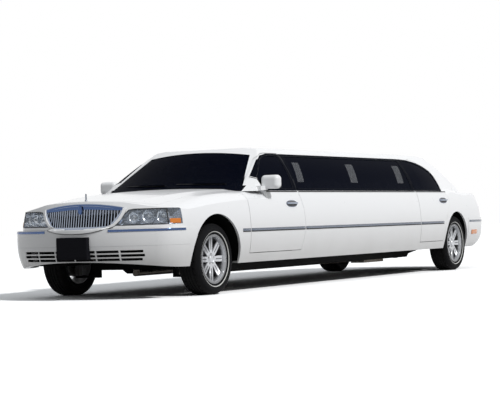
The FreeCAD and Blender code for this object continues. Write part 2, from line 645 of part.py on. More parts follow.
def nose_arc_y(x):
    """How far back the nose face runs at x."""
    return NOSE + END_FACE_R - math.sqrt(END_FACE_R ** 2 - x * x)


def grille_frame(solid_low):
    """Heavy curved surround, following the nose."""
    band = solid_low.common(grille_prism(LAMP_GAP, -5000, FRONT_AXLE - 700)).cut(grille_prism(22, -5000, FRONT_AXLE))
    return largest(band.cut([solid_low.translated(vec(0, BAR_DEPTH + 14, 0)), hood_zone(SHUT_GAP)]))


def grille_bars():
    """Upright bars, each set back to follow the nose."""
    reach = GRILLE_TOP[2][0] - 34
    pitch = 2 * reach / (GRILLE_BARS - 1)
    bars = []
    for i in range(GRILLE_BARS):
        x = -reach + i * pitch
        y = nose_arc_y(x) + 12
        bars.append(side_prism([(y, BUMPER_TOP), (y + BAR_DEPTH, BUMPER_TOP), (y + BAR_DEPTH + 45, 920), (y + 45, 920)],
                               x - BAR_WIDTH / 2, x + BAR_WIDTH / 2))
    return Part.makeCompound(bars).common(grille_prism(22, -5000, FRONT_AXLE))


# ---------------------------------------------------------------- floor, frame and drive line

FLOOR_T = 25
CABIN_FLOOR = FLOOR_Z + 10 + FLOOR_T
RAIL_X = (415, 485)         # inner and outer face of a frame rail
RAIL_HALF = 55              # half height of a rail
# Centre line of the rails, (y from the named axle, z)
FRAME_LINE = [(FRONT_AXLE - 850, 400), (FRONT_AXLE + 260, 400), (FRONT_AXLE + 560, 245),
              (REAR_AXLE - 556, 245), (REAR_AXLE - 250, 470), (REAR_AXLE + 1250, 470)]
BEAM_Z = 265                # crossmembers under the cabin floor, middle height
CROSSMEMBERS = [(FRONT_AXLE - 800, 400), (FRONT_AXLE + 900, BEAM_Z), (FRONT_AXLE + 2400, BEAM_Z),
                (REAR_AXLE - 2500, BEAM_Z), (REAR_AXLE - 900, BEAM_Z), (REAR_AXLE + 500, 470), (REAR_AXLE + 1200, 470)]
TIE_DOWN_R = 16
TIE_DOWNS = [(FRONT_AXLE - 680, 400), (REAR_AXLE + 950, 470)]
TRUNK_FLOOR_Z = 525
STEP_Y = REAR_AXLE - 560     # where the cabin floor steps up over the axle
FIREWALL_Y = FRONT_AXLE + 600


def frame_rail():
    upper = [(y, z + RAIL_HALF) for y, z in FRAME_LINE]
    lower = [(y, z - RAIL_HALF) for y, z in FRAME_LINE]
    rail = side_prism(upper + lower[::-1], RAIL_X[0], RAIL_X[1])
    middle = (RAIL_X[0] + RAIL_X[1]) / 2
    return rail.cut([Part.makeCylinder(TIE_DOWN_R, 3 * RAIL_HALF, vec(middle, y, z - 1.5 * RAIL_HALF))
                     for y, z in TIE_DOWNS])


def wheel_house(axle, arch_r, x0, skin, slot):
    """A liner just inside the arch's recess; the slot clears the suspension or the axle."""
    middle = axle - ARCH_LEAD
    outer = tube_x(arch_r + ARCH_RISE - LINER_GAP, x0 - LINER, INSIDE_HALF + 100, middle, AXLE_Z)
    hollow = tube_x(arch_r + ARCH_RISE - LINER_GAP - LINER, x0, WIDE, middle, AXLE_Z)
    shell = outer.cut([hollow, box(0, WIDE, middle - 600, middle + 600, 0, FLOOR_Z + 20),
                       box(x0 - 20, x0 + 20, axle - slot, axle + slot, 0, AXLE_Z + 200)])
    return largest(shell.common(skin))


LINER = 6
LINER_GAP = 1
TUNNEL_WALL = 12
TUNNEL = [(165, FIREWALL_Y, FRONT_AXLE + 1170, 610), (112, FRONT_AXLE + 1170, STEP_Y, 462)]
INSIDE_HALF = 850
TRUNK_HALF = 585


def tunnel(wall):
    """The raised tunnel over gearbox and driveshaft: its outside, or its hollow."""
    low = CABIN_FLOOR - (FLOOR_T + 20 if wall else 0)
    reach = 40 if wall else 0
    return [box(-half + wall, half - wall, y0 - reach, y1 + reach, low, top - wall) for half, y0, y1, top in TUNNEL]


def build_floor(nodes):
    inner = lower_body(SIDE_WALL, TOP_WALL)
    top = FLOOR_Z + 10 + FLOOR_T
    floor = box(-WIDE, WIDE, FIREWALL_Y, STEP_Y, FLOOR_Z + 10, top)
    wall = box(-INSIDE_HALF, INSIDE_HALF, FIREWALL_Y, FIREWALL_Y + 20, top, 1100)
    step = box(-INSIDE_HALF, INSIDE_HALF, STEP_Y - 20, STEP_Y, top, TRUNK_FLOOR_Z + FLOOR_T)
    trunk = box(-TRUNK_HALF, TRUNK_HALF, STEP_Y, REAR_AXLE + 1270, TRUNK_FLOOR_Z, TRUNK_FLOOR_Z + FLOOR_T)
    pan = fuse([floor, wall, step, trunk] + tunnel(0)).cut(tunnel(TUNNEL_WALL))
    nodes["floor_pan"] = pan.common(inner)
    skin = lower_body(ARCH_LIP + LINER_GAP, ARCH_LIP + LINER_GAP)
    house = [wheel_house(FRONT_AXLE, FRONT_ARCH_R, RAIL_X[1] + LINER + 0.3, skin, 110),
             wheel_house(REAR_AXLE, REAR_ARCH_R, TRUNK_HALF + LINER + 0.3, skin, 75)]
    nodes["wheel_houses"] = Part.makeCompound(house + [mirrored(h) for h in house])
    nodes["frame_rails"] = both_sides(frame_rail())
    beams = [box(-RAIL_X[0] + 0.3, RAIL_X[0] - 0.3, y - 40, y + 40, z - 35, z + 35) for y, z in CROSSMEMBERS]
    nodes["crossmembers"] = Part.makeCompound(beams)


PIPE_R = 30
PIPE_Z = BEAM_Z - 35 - PIPE_R
HUB_R = 34
SPINDLE_R = 25
RUNNING_FIT = 0.08
KINGPIN_R = 12
ARM_Z = (185, 505)          # lower and upper suspension arm, middle height
ARM_T = 24
KNUCKLE_Z = (ARM_Z[0] + ARM_T / 2, ARM_Z[1] - ARM_T / 2)
SIDES = (("left", 1), ("right", -1))


def build_drive(nodes):
    block = box(-290, 290, FRONT_AXLE - 330, FRONT_AXLE + 420, 345, 840)
    gearbox = Part.makeCone(150, 80, 700, vec(0, FRONT_AXLE + 420, 470), vec(0, 1, -0.12))
    nodes["engine_block"] = fuse([block, gearbox])
    nodes["radiator"] = box(-360, 360, FRONT_AXLE - 795, FRONT_AXLE - 740, 435.3, 775)
    shaft_start = vec(0, FRONT_AXLE + 1115, 386)
    shaft_end = vec(0, REAR_AXLE - 150, AXLE_Z)
    along = shaft_end - shaft_start
    shaft = Part.makeCylinder(42, along.Length, shaft_start, along)

    low, high = KNUCKLE_Z
    bridge = box(-RAIL_X[0] - 70, RAIL_X[0] + 70, FRONT_AXLE - 70, FRONT_AXLE + 70, 250, 345)
    arms = [bridge]
    for _, s in SIDES:
        for z in ARM_Z:
            x0, x1 = sorted((s * (RAIL_X[0] + 20), s * (KINGPIN_X + 20)))
            arms.append(box(x0, x1, FRONT_AXLE - 28, FRONT_AXLE + 28, z - ARM_T / 2, z + ARM_T / 2))
        x0, x1 = sorted((s * (RAIL_X[0] + 20), s * (RAIL_X[0] + 62)))
        arms.append(box(x0, x1, FRONT_AXLE - 28, FRONT_AXLE + 28, ARM_Z[0], 250))
        arms.append(Part.makeCylinder(KINGPIN_R, 50, vec(s * KINGPIN_X, FRONT_AXLE, low)))
        arms.append(Part.makeCylinder(KINGPIN_R, 50, vec(s * KINGPIN_X, FRONT_AXLE, high - 50)))
        arms.append(box(*sorted((s * (RAIL_X[0] + 20), s * (RAIL_X[0] + 62))), FRONT_AXLE - 28, FRONT_AXLE + 28, 455, 505))
    nodes["front_suspension"] = fuse(arms)

    inner_end = FRONT_TRACK / 2 - 40
    post = box(KINGPIN_X - 24, KINGPIN_X + 24, FRONT_AXLE - 30, FRONT_AXLE + 30, low + RUNNING_FIT, high - RUNNING_FIT)
    spindle = tube_x(SPINDLE_R, KINGPIN_X, FRONT_TRACK / 2 + 45, FRONT_AXLE, AXLE_Z)
    collar = tube_x(HUB_R + 14, KINGPIN_X, inner_end, FRONT_AXLE, AXLE_Z)
    pin_holes = [Part.makeCylinder(KINGPIN_R + RUNNING_FIT, 52, vec(KINGPIN_X, FRONT_AXLE, low - 1)),
                 Part.makeCylinder(KINGPIN_R + RUNNING_FIT, 52, vec(KINGPIN_X, FRONT_AXLE, high - 51))]
    nodes["knuckle_left"] = fuse([post, spindle, collar]).cut(pin_holes)
    nodes["knuckle_right"] = mirrored(nodes["knuckle_left"])

    reach = REAR_TRACK / 2
    axle = [tube_x(42, -reach + 40, reach - 40, REAR_AXLE, AXLE_Z), tube_x(SPINDLE_R, -reach - 45, reach + 45, REAR_AXLE, AXLE_Z),
            Part.makeCylinder(115, 270, vec(0, REAR_AXLE - 150, AXLE_Z), vec(0, 1, 0))]
    for _, s in SIDES:
        axle.append(Part.makeCylinder(52, 415 - AXLE_Z, vec(s * (RAIL_X[0] + 35), REAR_AXLE, AXLE_Z)))
        x0, x1 = sorted((s * (RAIL_X[0] - 50), s * (RAIL_X[0] - 5)))
        link = side_prism([(REAR_AXLE, AXLE_Z - 30), (REAR_AXLE - 700, 215), (REAR_AXLE - 780, 215), (REAR_AXLE - 780, 191),
                           (REAR_AXLE - 700, 180), (REAR_AXLE, AXLE_Z - 75)], x0, x1)
        axle.append(link)
    nodes["rear_axle"] = fuse(axle)
    nodes["driveshaft"] = shaft.cut([nodes["engine_block"], nodes["rear_axle"]])

    pipes = []
    start, end = FRONT_AXLE + 350, REAR_AXLE - 950
    for _, s in SIDES:
        x = s * 250
        pipe = Part.makeCylinder(PIPE_R, end - start, vec(x, start, PIPE_Z), vec(0, 1, 0))
        down = Part.makeCylinder(PIPE_R, 345 - PIPE_Z, vec(x, start + PIPE_R, PIPE_Z))
        silencer = box(x - 90, x + 90, end - 550, end, 150, BEAM_Z - 35)
        pipes.append(fuse([pipe, down, silencer]))
    nodes["exhaust"] = Part.makeCompound(pipes)
    nodes["fuel_tank"] = box(-330, 330, REAR_AXLE + 640, REAR_AXLE + 1080, 290, TRUNK_FLOOR_Z)


RIM_WIDTH = 196
RIM_WALL = 9
RIM_SEAT = 12               # from the rim's edge down to the barrel under the bead
TYRE_CORNER = 50
BEAD = 0.5                  # clearance of tyre and rim


def ring_about_x(profile, x, axle, z=AXLE_Z):
    """Turn a profile of (x, radius) points about the axle line."""
    wire = Part.makePolygon([vec(x + a, axle, z + r) for a, r in profile + profile[:1]])
    return Part.Face(wire).revolve(vec(0, axle, z), vec(1, 0, 0), 360)


def tyre(x, axle):
    """A plain carcass with rounded shoulders; x is its mid plane and +X its outer side."""
    half, corner = TYRE_WIDTH / 2, TYRE_CORNER
    bead_half, flange_half = RIM_WIDTH / 2 - 9, RIM_WIDTH / 2 + 1
    seat_r, flange_r = RIM_R - RIM_SEAT + BEAD, RIM_R + 2.5

    def point(a, r):
        return vec(x + a, axle, AXLE_Z + r)

    crown_x = half - corner
    sides = []
    for s in (1, -1):
        bead = Part.makeLine(point(s * bead_half, seat_r), point(s * bead_half, flange_r))
        ledge = Part.makeLine(point(s * bead_half, flange_r), point(s * flange_half, flange_r))
        middle, high = point(s * half, RIM_R + 46), point(s * crown_x, TYRE_R - 4)
        wall = arc(point(s * flange_half, flange_r), point(s * (half - 6), RIM_R + 18), middle)
        shoulder = arc(middle, point(s * (half - 9), TYRE_R - 22), high)
        sides.append([bead, ledge, wall, shoulder])
    tread = arc(point(crown_x, TYRE_R - 4), point(0, TYRE_R), point(-crown_x, TYRE_R - 4))
    inside = Part.makeLine(point(-bead_half, seat_r), point(bead_half, seat_r))
    wire = Part.Wire(sides[0] + [tread] + sides[1][::-1] + [inside])
    return Part.Face(wire).revolve(vec(0, axle, AXLE_Z), vec(1, 0, 0), 360)


def wheel(x, axle):
    """Barrel, dished spokes, hub and brake drum; +X is the outer side."""
    half = RIM_WIDTH / 2
    seat_r = RIM_R - RIM_SEAT
    barrel = ring_about_x([(-half, seat_r), (half - 8, seat_r), (half - 4, RIM_R + 1), (half + 4, RIM_R + 1),
                           (half + 2, RIM_R - 22), (half - 30, RIM_R - 30), (-half, seat_r - RIM_WALL)], x, axle)
    bore = SPINDLE_R + RUNNING_FIT
    hub = ring_about_x([(-30, bore), (62, bore), (62, 0.0), (74, 0.0), (70, 38), (56, 62), (-30, 62)], x, axle)
    spokes = []
    for i in range(SPOKES):
        spoke = side_prism([(axle - 25, AXLE_Z + 45), (axle - 30, AXLE_Z + RIM_R - 24), (axle + 30, AXLE_Z + RIM_R - 24),
                            (axle + 25, AXLE_Z + 45)], x + 36, x + 66)
        spoke.rotate(vec(x, axle, AXLE_Z), vec(1, 0, 0), 360 * (i + 0.5) / SPOKES)
        spokes.append(spoke)
    drum = ring_about_x([(-24, 62), (-24, 150), (-2, 150), (-2, 62)], x, axle)
    return fuse([barrel, hub] + spokes + [drum])


def build_wheels(nodes):
    for end, axle, track in (("front", FRONT_AXLE, FRONT_TRACK), ("rear", REAR_AXLE, REAR_TRACK)):
        rim, rubber = wheel(track / 2, axle), tyre(track / 2, axle)
        for side, s in SIDES:
            nodes["wheel_%s_%s" % (end, side)] = rim if s > 0 else mirrored(rim)
            nodes["tyre_%s_%s" % (end, side)] = rubber if s > 0 else mirrored(rubber)


# ---------------------------------------------------------------- cabin

DRIVER_X = 385
PARTITION_Y = FRONT_AXLE + 2080


def rounded(shape, radius):
    return shape.makeFillet(radius, shape.Edges)


def seat(x0, x1, y0, y1, floor_z, cushion_z, back_top, lean=0.2):
    """Plinth, cushion and a leaning back; y1 is the rear of the cushion."""
    plinth = box(x0 + 40, x1 - 40, y0 + 60, y1 - 60, floor_z, cushion_z - 130)
    cushion = rounded(box(x0, x1, y0, y1, cushion_z - 140, cushion_z), 30)
    rise = back_top - cushion_z + 60
    back = side_prism([(y1 - 120, cushion_z - 60), (y1, cushion_z - 60), (y1 + lean * rise, back_top),
                       (y1 - 90 + lean * rise, back_top)], x0, x1)
    return fuse([plinth, cushion, rounded(back, 25)])


def build_cabin(nodes):
    seats = [seat(s * DRIVER_X - 270, s * DRIVER_X + 270, FRONT_AXLE + 1270, FRONT_AXLE + 1800, CABIN_FLOOR, 620, 1150)
             for s in (1, -1)]
    nodes["front_seats"] = Part.makeCompound(seats)
    rear = seat(-640, 640, REAR_AXLE - 1090, REAR_AXLE - 590, CABIN_FLOOR, 640, 1160, 0.3)
    bench_base = box(330, 800, PARTITION_Y + 300, REAR_AXLE - 1350, CABIN_FLOOR, 500)
    bench_back = box(700, 800, PARTITION_Y + 300, REAR_AXLE - 1350, 500, 960)
    nodes["rear_seats"] = Part.makeCompound([rear.cut(tunnel(0)), fuse([bench_base, bench_back])])
    nodes["bar_cabinet"] = box(-800, -430, PARTITION_Y + 300, REAR_AXLE - 1700, CABIN_FLOOR, 900)
    board = side_prism([(FIREWALL_Y + 20, 620), (FIREWALL_Y + 20, 925), (FRONT_AXLE + 860, 950), (FRONT_AXLE + 1010, 935),
                        (FRONT_AXLE + 1040, 830), (FRONT_AXLE + 980, 620)], -740, 740)
    nodes["dashboard"] = board
    column = Part.makeCylinder(28, 260, vec(DRIVER_X, FRONT_AXLE + 960, 850), vec(0, 1, 0.35))
    hub_at = vec(DRIVER_X, FRONT_AXLE + 960, 850) + vec(0, 1, 0.35).normalize() * 250
    axis = vec(0, 1, 0.35)
    rim = Part.makeTorus(185, 15, hub_at, axis)
    boss = Part.makeCylinder(60, 30, hub_at - vec(0, 1, 0.35).normalize() * 15, axis)
    spoke = Part.makeBox(360, 16, 34, vec(DRIVER_X - 180, -8, -17))
    spoke.translate(vec(0, hub_at.y, hub_at.z))
    nodes["steering_wheel"] = fuse([column, rim, boss, spoke]).cut(board)
    wall = box(-800, 800, PARTITION_Y, PARTITION_Y + 40, CABIN_FLOOR, 1000)
    frame = front_prism([(-800, 1000), (-600, 1380), (600, 1380), (800, 1000)], PARTITION_Y, PARTITION_Y + 40)
    gap = front_prism([(-640, 1040), (-520, 1330), (520, 1330), (640, 1040)], PARTITION_Y - 10, PARTITION_Y + 60)
    nodes["partition"] = fuse([wall, frame.cut(gap)]).cut(tunnel(0))


MIRROR_Y = FRONT_AXLE + 1030
MIRROR_GAP = 0.3
PLATE = dict(width=340, height=172, thick=8, front_z=492, rear_z=815, hole_spacing=178, hole_r=3.5, hole_up=62)
PLATE_ON_LID = 1312         # face of the rear plate, behind the rear axle
PLATE_BRACKET = (120, 45)   # half width and half height of the block behind the front plate


def build_outside(nodes):
    housing = rounded(box(884, 1085, MIRROR_Y - 58, MIRROR_Y + 58, 1020, 1160), 42)
    foot = box(860, 945, MIRROR_Y - 150, MIRROR_Y - 10, 1008, 1052)
    mirror = fuse([housing, foot]).cut([cabin(-MIRROR_GAP), lower_body(-MIRROR_GAP, -MIRROR_GAP)])
    nodes["mirror_left"] = largest(mirror)
    nodes["mirror_right"] = mirrored(nodes["mirror_left"])
    front_y = -LENGTH / 2
    bracket = box(-PLATE_BRACKET[0], PLATE_BRACKET[0], front_y + 1, front_y + 90,
                  PLATE["front_z"] - PLATE_BRACKET[1], PLATE["front_z"] + PLATE_BRACKET[1])
    plate = fuse([plate_blank(front_y, PLATE["front_z"]), bracket])
    nodes["front_plate"] = largest(plate.cut([nodes["front_bumper"]] + plate_holes(front_y, PLATE["front_z"])))
    lid_face = REAR_AXLE + PLATE_ON_LID
    holes = plate_holes(lid_face, PLATE["rear_z"])
    plate = plate_blank(lid_face - 60, PLATE["rear_z"], 60 + PLATE["thick"])
    nodes["rear_plate"] = largest(plate.cut([nodes["trunk_lid"]] + holes))
    nodes["trunk_lid"] = nodes["trunk_lid"].cut(holes)


def plate_blank(y, z, thick=PLATE["thick"]):
    half, up = PLATE["width"] / 2, PLATE["height"] / 2
    return box(-half, half, y, y + thick, z - up, z + up)


def plate_holes(y, z):
    top = z + PLATE["hole_up"]
    return [Part.makeCylinder(PLATE["hole_r"], 120, vec(s * PLATE["hole_spacing"] / 2, y - 60, top), vec(0, 1, 0))
            for s in (1, -1)]


def main():
    os.makedirs("parts", exist_ok=True)
    nodes = {}
    build_panels(nodes)
    build_floor(nodes)
    build_drive(nodes)
    build_wheels(nodes)
    build_cabin(nodes)
    build_outside(nodes)
    for name, shape in nodes.items():
        shape.exportStep("parts/%s.step" % name)


if __name__ == "__main__":
    main()
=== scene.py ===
"""Stretch limousine: materials, trim, lamps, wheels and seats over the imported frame."""

import json
import math

import bpy
from bpy.props import FloatProperty, FloatVectorProperty, IntProperty, PointerProperty
from mathutils import Matrix, Vector

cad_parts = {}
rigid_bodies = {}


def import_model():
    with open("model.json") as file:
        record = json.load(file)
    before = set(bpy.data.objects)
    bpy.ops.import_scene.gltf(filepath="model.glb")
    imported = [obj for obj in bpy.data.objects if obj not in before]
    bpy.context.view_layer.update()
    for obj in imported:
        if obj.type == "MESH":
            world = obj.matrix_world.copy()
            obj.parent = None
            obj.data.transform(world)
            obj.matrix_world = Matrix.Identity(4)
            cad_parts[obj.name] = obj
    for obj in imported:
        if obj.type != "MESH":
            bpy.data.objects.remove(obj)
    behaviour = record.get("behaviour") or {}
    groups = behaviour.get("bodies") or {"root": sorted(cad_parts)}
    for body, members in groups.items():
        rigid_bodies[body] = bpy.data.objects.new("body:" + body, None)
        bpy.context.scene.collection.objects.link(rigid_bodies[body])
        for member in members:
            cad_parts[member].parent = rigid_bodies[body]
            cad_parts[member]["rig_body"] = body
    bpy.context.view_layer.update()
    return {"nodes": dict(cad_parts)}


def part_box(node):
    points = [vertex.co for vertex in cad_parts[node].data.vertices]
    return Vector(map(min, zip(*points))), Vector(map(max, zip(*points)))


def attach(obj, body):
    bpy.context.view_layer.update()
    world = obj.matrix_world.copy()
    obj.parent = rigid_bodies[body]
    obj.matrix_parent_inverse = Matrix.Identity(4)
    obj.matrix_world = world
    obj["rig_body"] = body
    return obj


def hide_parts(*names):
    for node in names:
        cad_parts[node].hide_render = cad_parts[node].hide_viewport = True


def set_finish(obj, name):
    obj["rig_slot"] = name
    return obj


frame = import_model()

bl_info = {
    "name": "Stretch Limousine",
    "version": (1, 0, 0),
    "blender": (4, 5, 0),
    "location": "View3D > Sidebar > Limousine",
    "description": "Dresses the frame of a stretch limousine with materials, trim, lamps, wheels and seats",
    "category": "Object",
}

NODES = frame["nodes"]


def middle(node):
    """Centre of a node's box."""
    low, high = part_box(node)
    return (low + high) / 2


FRONT_AXLE = middle("tyre_front_left").y
REAR_AXLE = middle("tyre_rear_left").y
HUB_HEIGHT = middle("tyre_front_left").z
WHEELBASE = REAR_AXLE - FRONT_AXLE
BELT = 1.003                 # foot of the black window surround
RAIL = 1.402                 # its top, just under the joint with the roof
GLASS_FOOT = 1.024           # foot and top of the openings inside the surround
GLASS_TOP = 1.379
SPOKES = 8                   # on each wheel
SIDES = (("left", 1), ("right", -1))
OUTSIDE = 1.3                # flat shapes start this far out before they are laid on the body


# ---------------------------------------------------------------- sizes and colours

def length(name, text, value):
    """A size property in metres."""
    return FloatProperty(name=name, description=text, default=value, min=0.0,
                         subtype="DISTANCE", unit="LENGTH")


def colour(name, text, value):
    """A colour property."""
    return FloatVectorProperty(name=name, description=text, default=value, min=0, max=1,
                               size=3, subtype="COLOR")


class LimousineSizes(bpy.types.PropertyGroup):
    """Sizes of the trim."""

    moulding_height: length("Moulding height", "Height of the strip along the sides", 0.024)
    moulding_thickness: length("Moulding thickness", "How far the strip stands off the paint", 0.007)
    surround_thickness: length("Window surround", "Thickness of the black surround of the windows", 0.0012)
    handle_length: length("Door handle", "Length of a door handle", 0.235)
    white_ring: length("White ring", "Radius of the thin white ring on the tyres", 0.2645)
    tread_depth: length("Tread depth", "Depth of the grooves of the tyres", 0.007)
    wheel_nuts: IntProperty(name="Wheel nuts", description="Nuts round each wheel cap",
                            default=5, min=3, max=8)


class LimousineColours(bpy.types.PropertyGroup):
    """Colours of the main finishes."""

    paint: colour("Paint", "Body colour", (0.83, 0.835, 0.845))
    glass: colour("Glass", "Tint of the windows", (0.002, 0.003, 0.008))
    # the bright metal is darkened and tinted blue: a painted reflection of dark blue surroundings
    chrome: colour("Chrome", "Colour of the bright metal", (0.33, 0.37, 0.45))
    alloy: colour("Wheels", "Colour of the wheels", (0.56, 0.57, 0.59))
    leather: colour("Leather", "Colour of the seats", (0.035, 0.033, 0.034))
    red: colour("Tail lamps", "Colour of the tail lamps", (0.42, 0.010, 0.012))
    amber: colour("Indicators", "Colour of the indicators", (0.75, 0.22, 0.02))


def sizes():
    return bpy.context.scene.limousine_sizes


def colours():
    return bpy.context.scene.limousine_colours


# ---------------------------------------------------------------- shader maths

class Value:
    """A number that varies over a surface. Arithmetic on it adds Math nodes."""

    def __init__(self, nodes, socket):
        self.nodes = nodes
        self.socket = socket

    def math(self, operation, *terms):
        inputs = dict(enumerate(terms))
        node = self.nodes.node("ShaderNodeMath", {"operation": operation}, inputs)
        return Value(self.nodes, node.outputs[0])

    def __add__(self, other):
        return self.math("ADD", self, other)

    def __radd__(self, other):
        return self.math("ADD", other, self)

    def __sub__(self, other):
        return self.math("SUBTRACT", self, other)

    def __rsub__(self, other):
        return self.math("SUBTRACT", other, self)

    def __mul__(self, other):
        return self.math("MULTIPLY", self, other)

    def __rmul__(self, other):
        return self.math("MULTIPLY", other, self)

    def __truediv__(self, other):
        return self.math("DIVIDE", self, other)

    def __pow__(self, other):
        return self.math("POWER", self, other)

    def __abs__(self):
        return self.math("ABSOLUTE", self)

    def sine(self):
        return self.math("SINE", self)

    def larger(self, other):
        return self.math("MAXIMUM", self, other)

    def rise(self, low, high):
        """0 up to low, 1 from high, smooth between."""
        inputs = {"Value": self, "From Min": low, "From Max": high, "To Min": 0.0, "To Max": 1.0}
        node = self.nodes.node("ShaderNodeMapRange", {"interpolation_type": "SMOOTHSTEP"}, inputs)
        return Value(self.nodes, node.outputs[0])

    def band(self, low, high, edge):
        """1 between low and high, falling to 0 over edge outside them."""
        return self.rise(low - edge, low) * (1 - self.rise(high, high + edge))


class Nodes:
    """A node tree and the ways used here to add to it."""

    def __init__(self, tree):
        self.tree = tree
        tree.nodes.clear()

    def node(self, kind, settings=None, inputs=None):
        """A node of this kind: its settings first, then its sockets' values or links."""
        node = self.tree.nodes.new(kind)
        for name, value in (settings or {}).items():
            setattr(node, name, value)
        for name, value in (inputs or {}).items():
            self.feed(node.inputs[name], value)
        return node

    def feed(self, socket, value):
        if isinstance(value, Value):
            value = value.socket
        if isinstance(value, bpy.types.NodeSocket):
            self.tree.links.new(value, socket)
        else:
            socket.default_value = value

    def light_path(self, *rays):
        """1 for rays of these kinds."""
        path = self.node("ShaderNodeLightPath")
        found = Value(self, path.outputs[rays[0]])
        for ray in rays[1:]:
            found = found.larger(Value(self, path.outputs[ray]))
        return found


class Finish(Nodes):
    """A material on one Principled shader, with Object coordinates."""

    def __init__(self, name, **constants):
        self.material = bpy.data.materials.new(name)
        self.material.use_nodes = True
        super().__init__(self.material.node_tree)
        self.shader = self.node("ShaderNodeBsdfPrincipled")
        self.node("ShaderNodeOutputMaterial", None, {"Surface": self.shader.outputs[0]})
        self.place = self.node("ShaderNodeTexCoord").outputs["Object"]
        split = self.node("ShaderNodeSeparateXYZ", None, {0: self.place})
        self.x, self.y, self.z = (Value(self, out) for out in split.outputs)
        self.set(**constants)

    def set(self, **values):
        """Give the shader's sockets their values, named with _ for a space."""
        for name, value in values.items():
            self.feed(self.shader.inputs[name.replace("_", " ").title().replace("Ior", "IOR")], value)
        return self

    def stretched(self, x=1.0, y=1.0, z=1.0):
        """Object coordinates scaled along each axis."""
        inputs = {0: self.place, 1: (x, y, z)}
        return self.node("ShaderNodeVectorMath", {"operation": "MULTIPLY"}, inputs).outputs[0]

    def noise(self, scale, detail=2.0, roughness=0.5, place=None):
        inputs = {"Vector": place or self.place, "Scale": scale, "Detail": detail, "Roughness": roughness}
        return Value(self, self.node("ShaderNodeTexNoise", None, inputs).outputs[0])

    def cells(self, scale, place=None):
        inputs = {"Vector": place or self.place, "Scale": scale}
        return Value(self, self.node("ShaderNodeTexVoronoi", None, inputs).outputs["Distance"])

    def mix(self, factor, a, b):
        """Colour a where factor is 0 and b where it is 1."""
        node = self.node("ShaderNodeMix", {"data_type": "RGBA"}, {0: factor, 6: solid(a), 7: solid(b)})
        return node.outputs[2]

    def bump(self, height, distance, strength=1.0):
        inputs = {"Height": height, "Distance": distance, "Strength": strength}
        return self.set(normal=self.node("ShaderNodeBump", None, inputs).outputs[0])


def solid(value):
    """A colour with its fourth number, or a socket as it is."""
    return value if isinstance(value, bpy.types.NodeSocket) else (*tuple(value)[:3], 1.0)


def shade(value, share):
    """The colour made darker or lighter."""
    return tuple(min(1.0, part * share) for part in value)


# ---------------------------------------------------------------- finishes

def body_paint(name, dark=None):
    """Gloss white, darker and warmer low on the body as painted shade, and black where the mask given says.
    """
    f = Finish(name, coat_weight=0.35, coat_roughness=0.06, specular_ior_level=0.35)
    paint = colours().paint
    # painted shade and painted warm bounce light: the paint turns darker and warmer towards the foot of the
    # body, in patches
    low_painted_shade = (1 - f.z.rise(0.26, 0.86)) * (0.62 + 0.38 * f.noise(2.2, 3))
    tone = f.mix(f.noise(0.8, 1), shade(paint, 0.985), paint)
    tone = f.mix(low_painted_shade * 0.85, tone, (paint[0] * 0.60, paint[1] * 0.585, paint[2] * 0.565))
    rough = 0.26 + 0.10 * low_painted_shade + 0.05 * f.noise(14, 2)
    if dark:
        # the mask's black is the real black of the window surrounds, and painted shade deep in the bumper
        # slots
        inside = dark(f)
        tone = f.mix(inside, tone, (0.003, 0.004, 0.007))
        rough = rough + inside * 0.55
        f.set(coat_weight=0.35 - 0.35 * inside)
    f.set(base_color=tone, roughness=rough)
    return f.bump(f.noise(40, 1), 0.0003, 0.05).material


def slot_painted_shade_mask(f):
    """1 on the walls deep inside the intake slots of the front bumper, where the paint turns black as painted
    shade of the dark intake behind them.
    """
    sag = 1.5 - (1.5 * 1.5 - f.x * f.x) ** 0.5
    depth = f.y - (FRONT_AXLE - 1.052 - 0.164 * (f.z - 0.38)) - sag
    rows = (f.z.band(0.3635, 0.3885, 0.0005) + f.z.band(0.4005, 0.4255, 0.0005)
            + f.z.band(0.4375, 0.4625, 0.0005))
    return rows * depth.rise(0.005, 0.008) * (1 - abs(f.x).rise(0.688, 0.690))


def window_band_mask(f):
    """1 on the doors and sides within the dark band of the windows."""
    behind, ahead = f.y - FRONT_AXLE, f.y - REAR_AXLE
    inside = f.z.band(1.007, 1.396, 0.001) * abs(f.x).rise(0.55, 0.56)
    for (y0, z0), (y1, z1) in zip(FRONT_SURROUND[:5], FRONT_SURROUND[1:6]):
        reach = math.hypot(y1 - y0, z1 - z0)
        depth = (behind - y0) * ((z1 - z0) / reach) - (f.z - z0) * ((y1 - y0) / reach)
        inside = inside * depth.rise(0.003, 0.004)
    for (y0, z0), (y1, z1) in zip(REAR_SURROUND[2:9], REAR_SURROUND[3:10]):
        reach = math.hypot(y1 - y0, z1 - z0)
        depth = (ahead - y0) * ((z1 - z0) / reach) - (f.z - z0) * ((y1 - y0) / reach)
        inside = inside * depth.rise(0.003, 0.004)
    return inside


def window_glass(name, alpha, top_band=0.0):
    """Dark glass, a little dusty towards its lower edge."""
    f = Finish(name, ior=1.06, specular_ior_level=0.1)
    tint = colours().glass
    dust = (1 - f.z.rise(1.02, 1.20)) * f.noise(9, 4)
    f.set(base_color=f.mix(dust * 0.25, tint, (0.020, 0.023, 0.030)), roughness=0.03 + 0.08 * dust)
    shade_band = f.z.rise(1.30, 1.40) * top_band
    f.set(alpha=alpha + shade_band * (1 - alpha) + dust * 0.03)
    return f.material


def bright_metal(name, tone, rough=0.09):
    """Polished plating with faint streaks."""
    f = Finish(name, metallic=1.0, specular_ior_level=0.5)
    streak = f.noise(30, 3, place=f.stretched(1, 0.08, 6))
    f.set(base_color=f.mix(streak, shade(tone, 0.82), shade(tone, 1.08)), roughness=rough + 0.07 * streak)
    return f.bump(f.noise(220, 1), 0.0001, 0.08).material


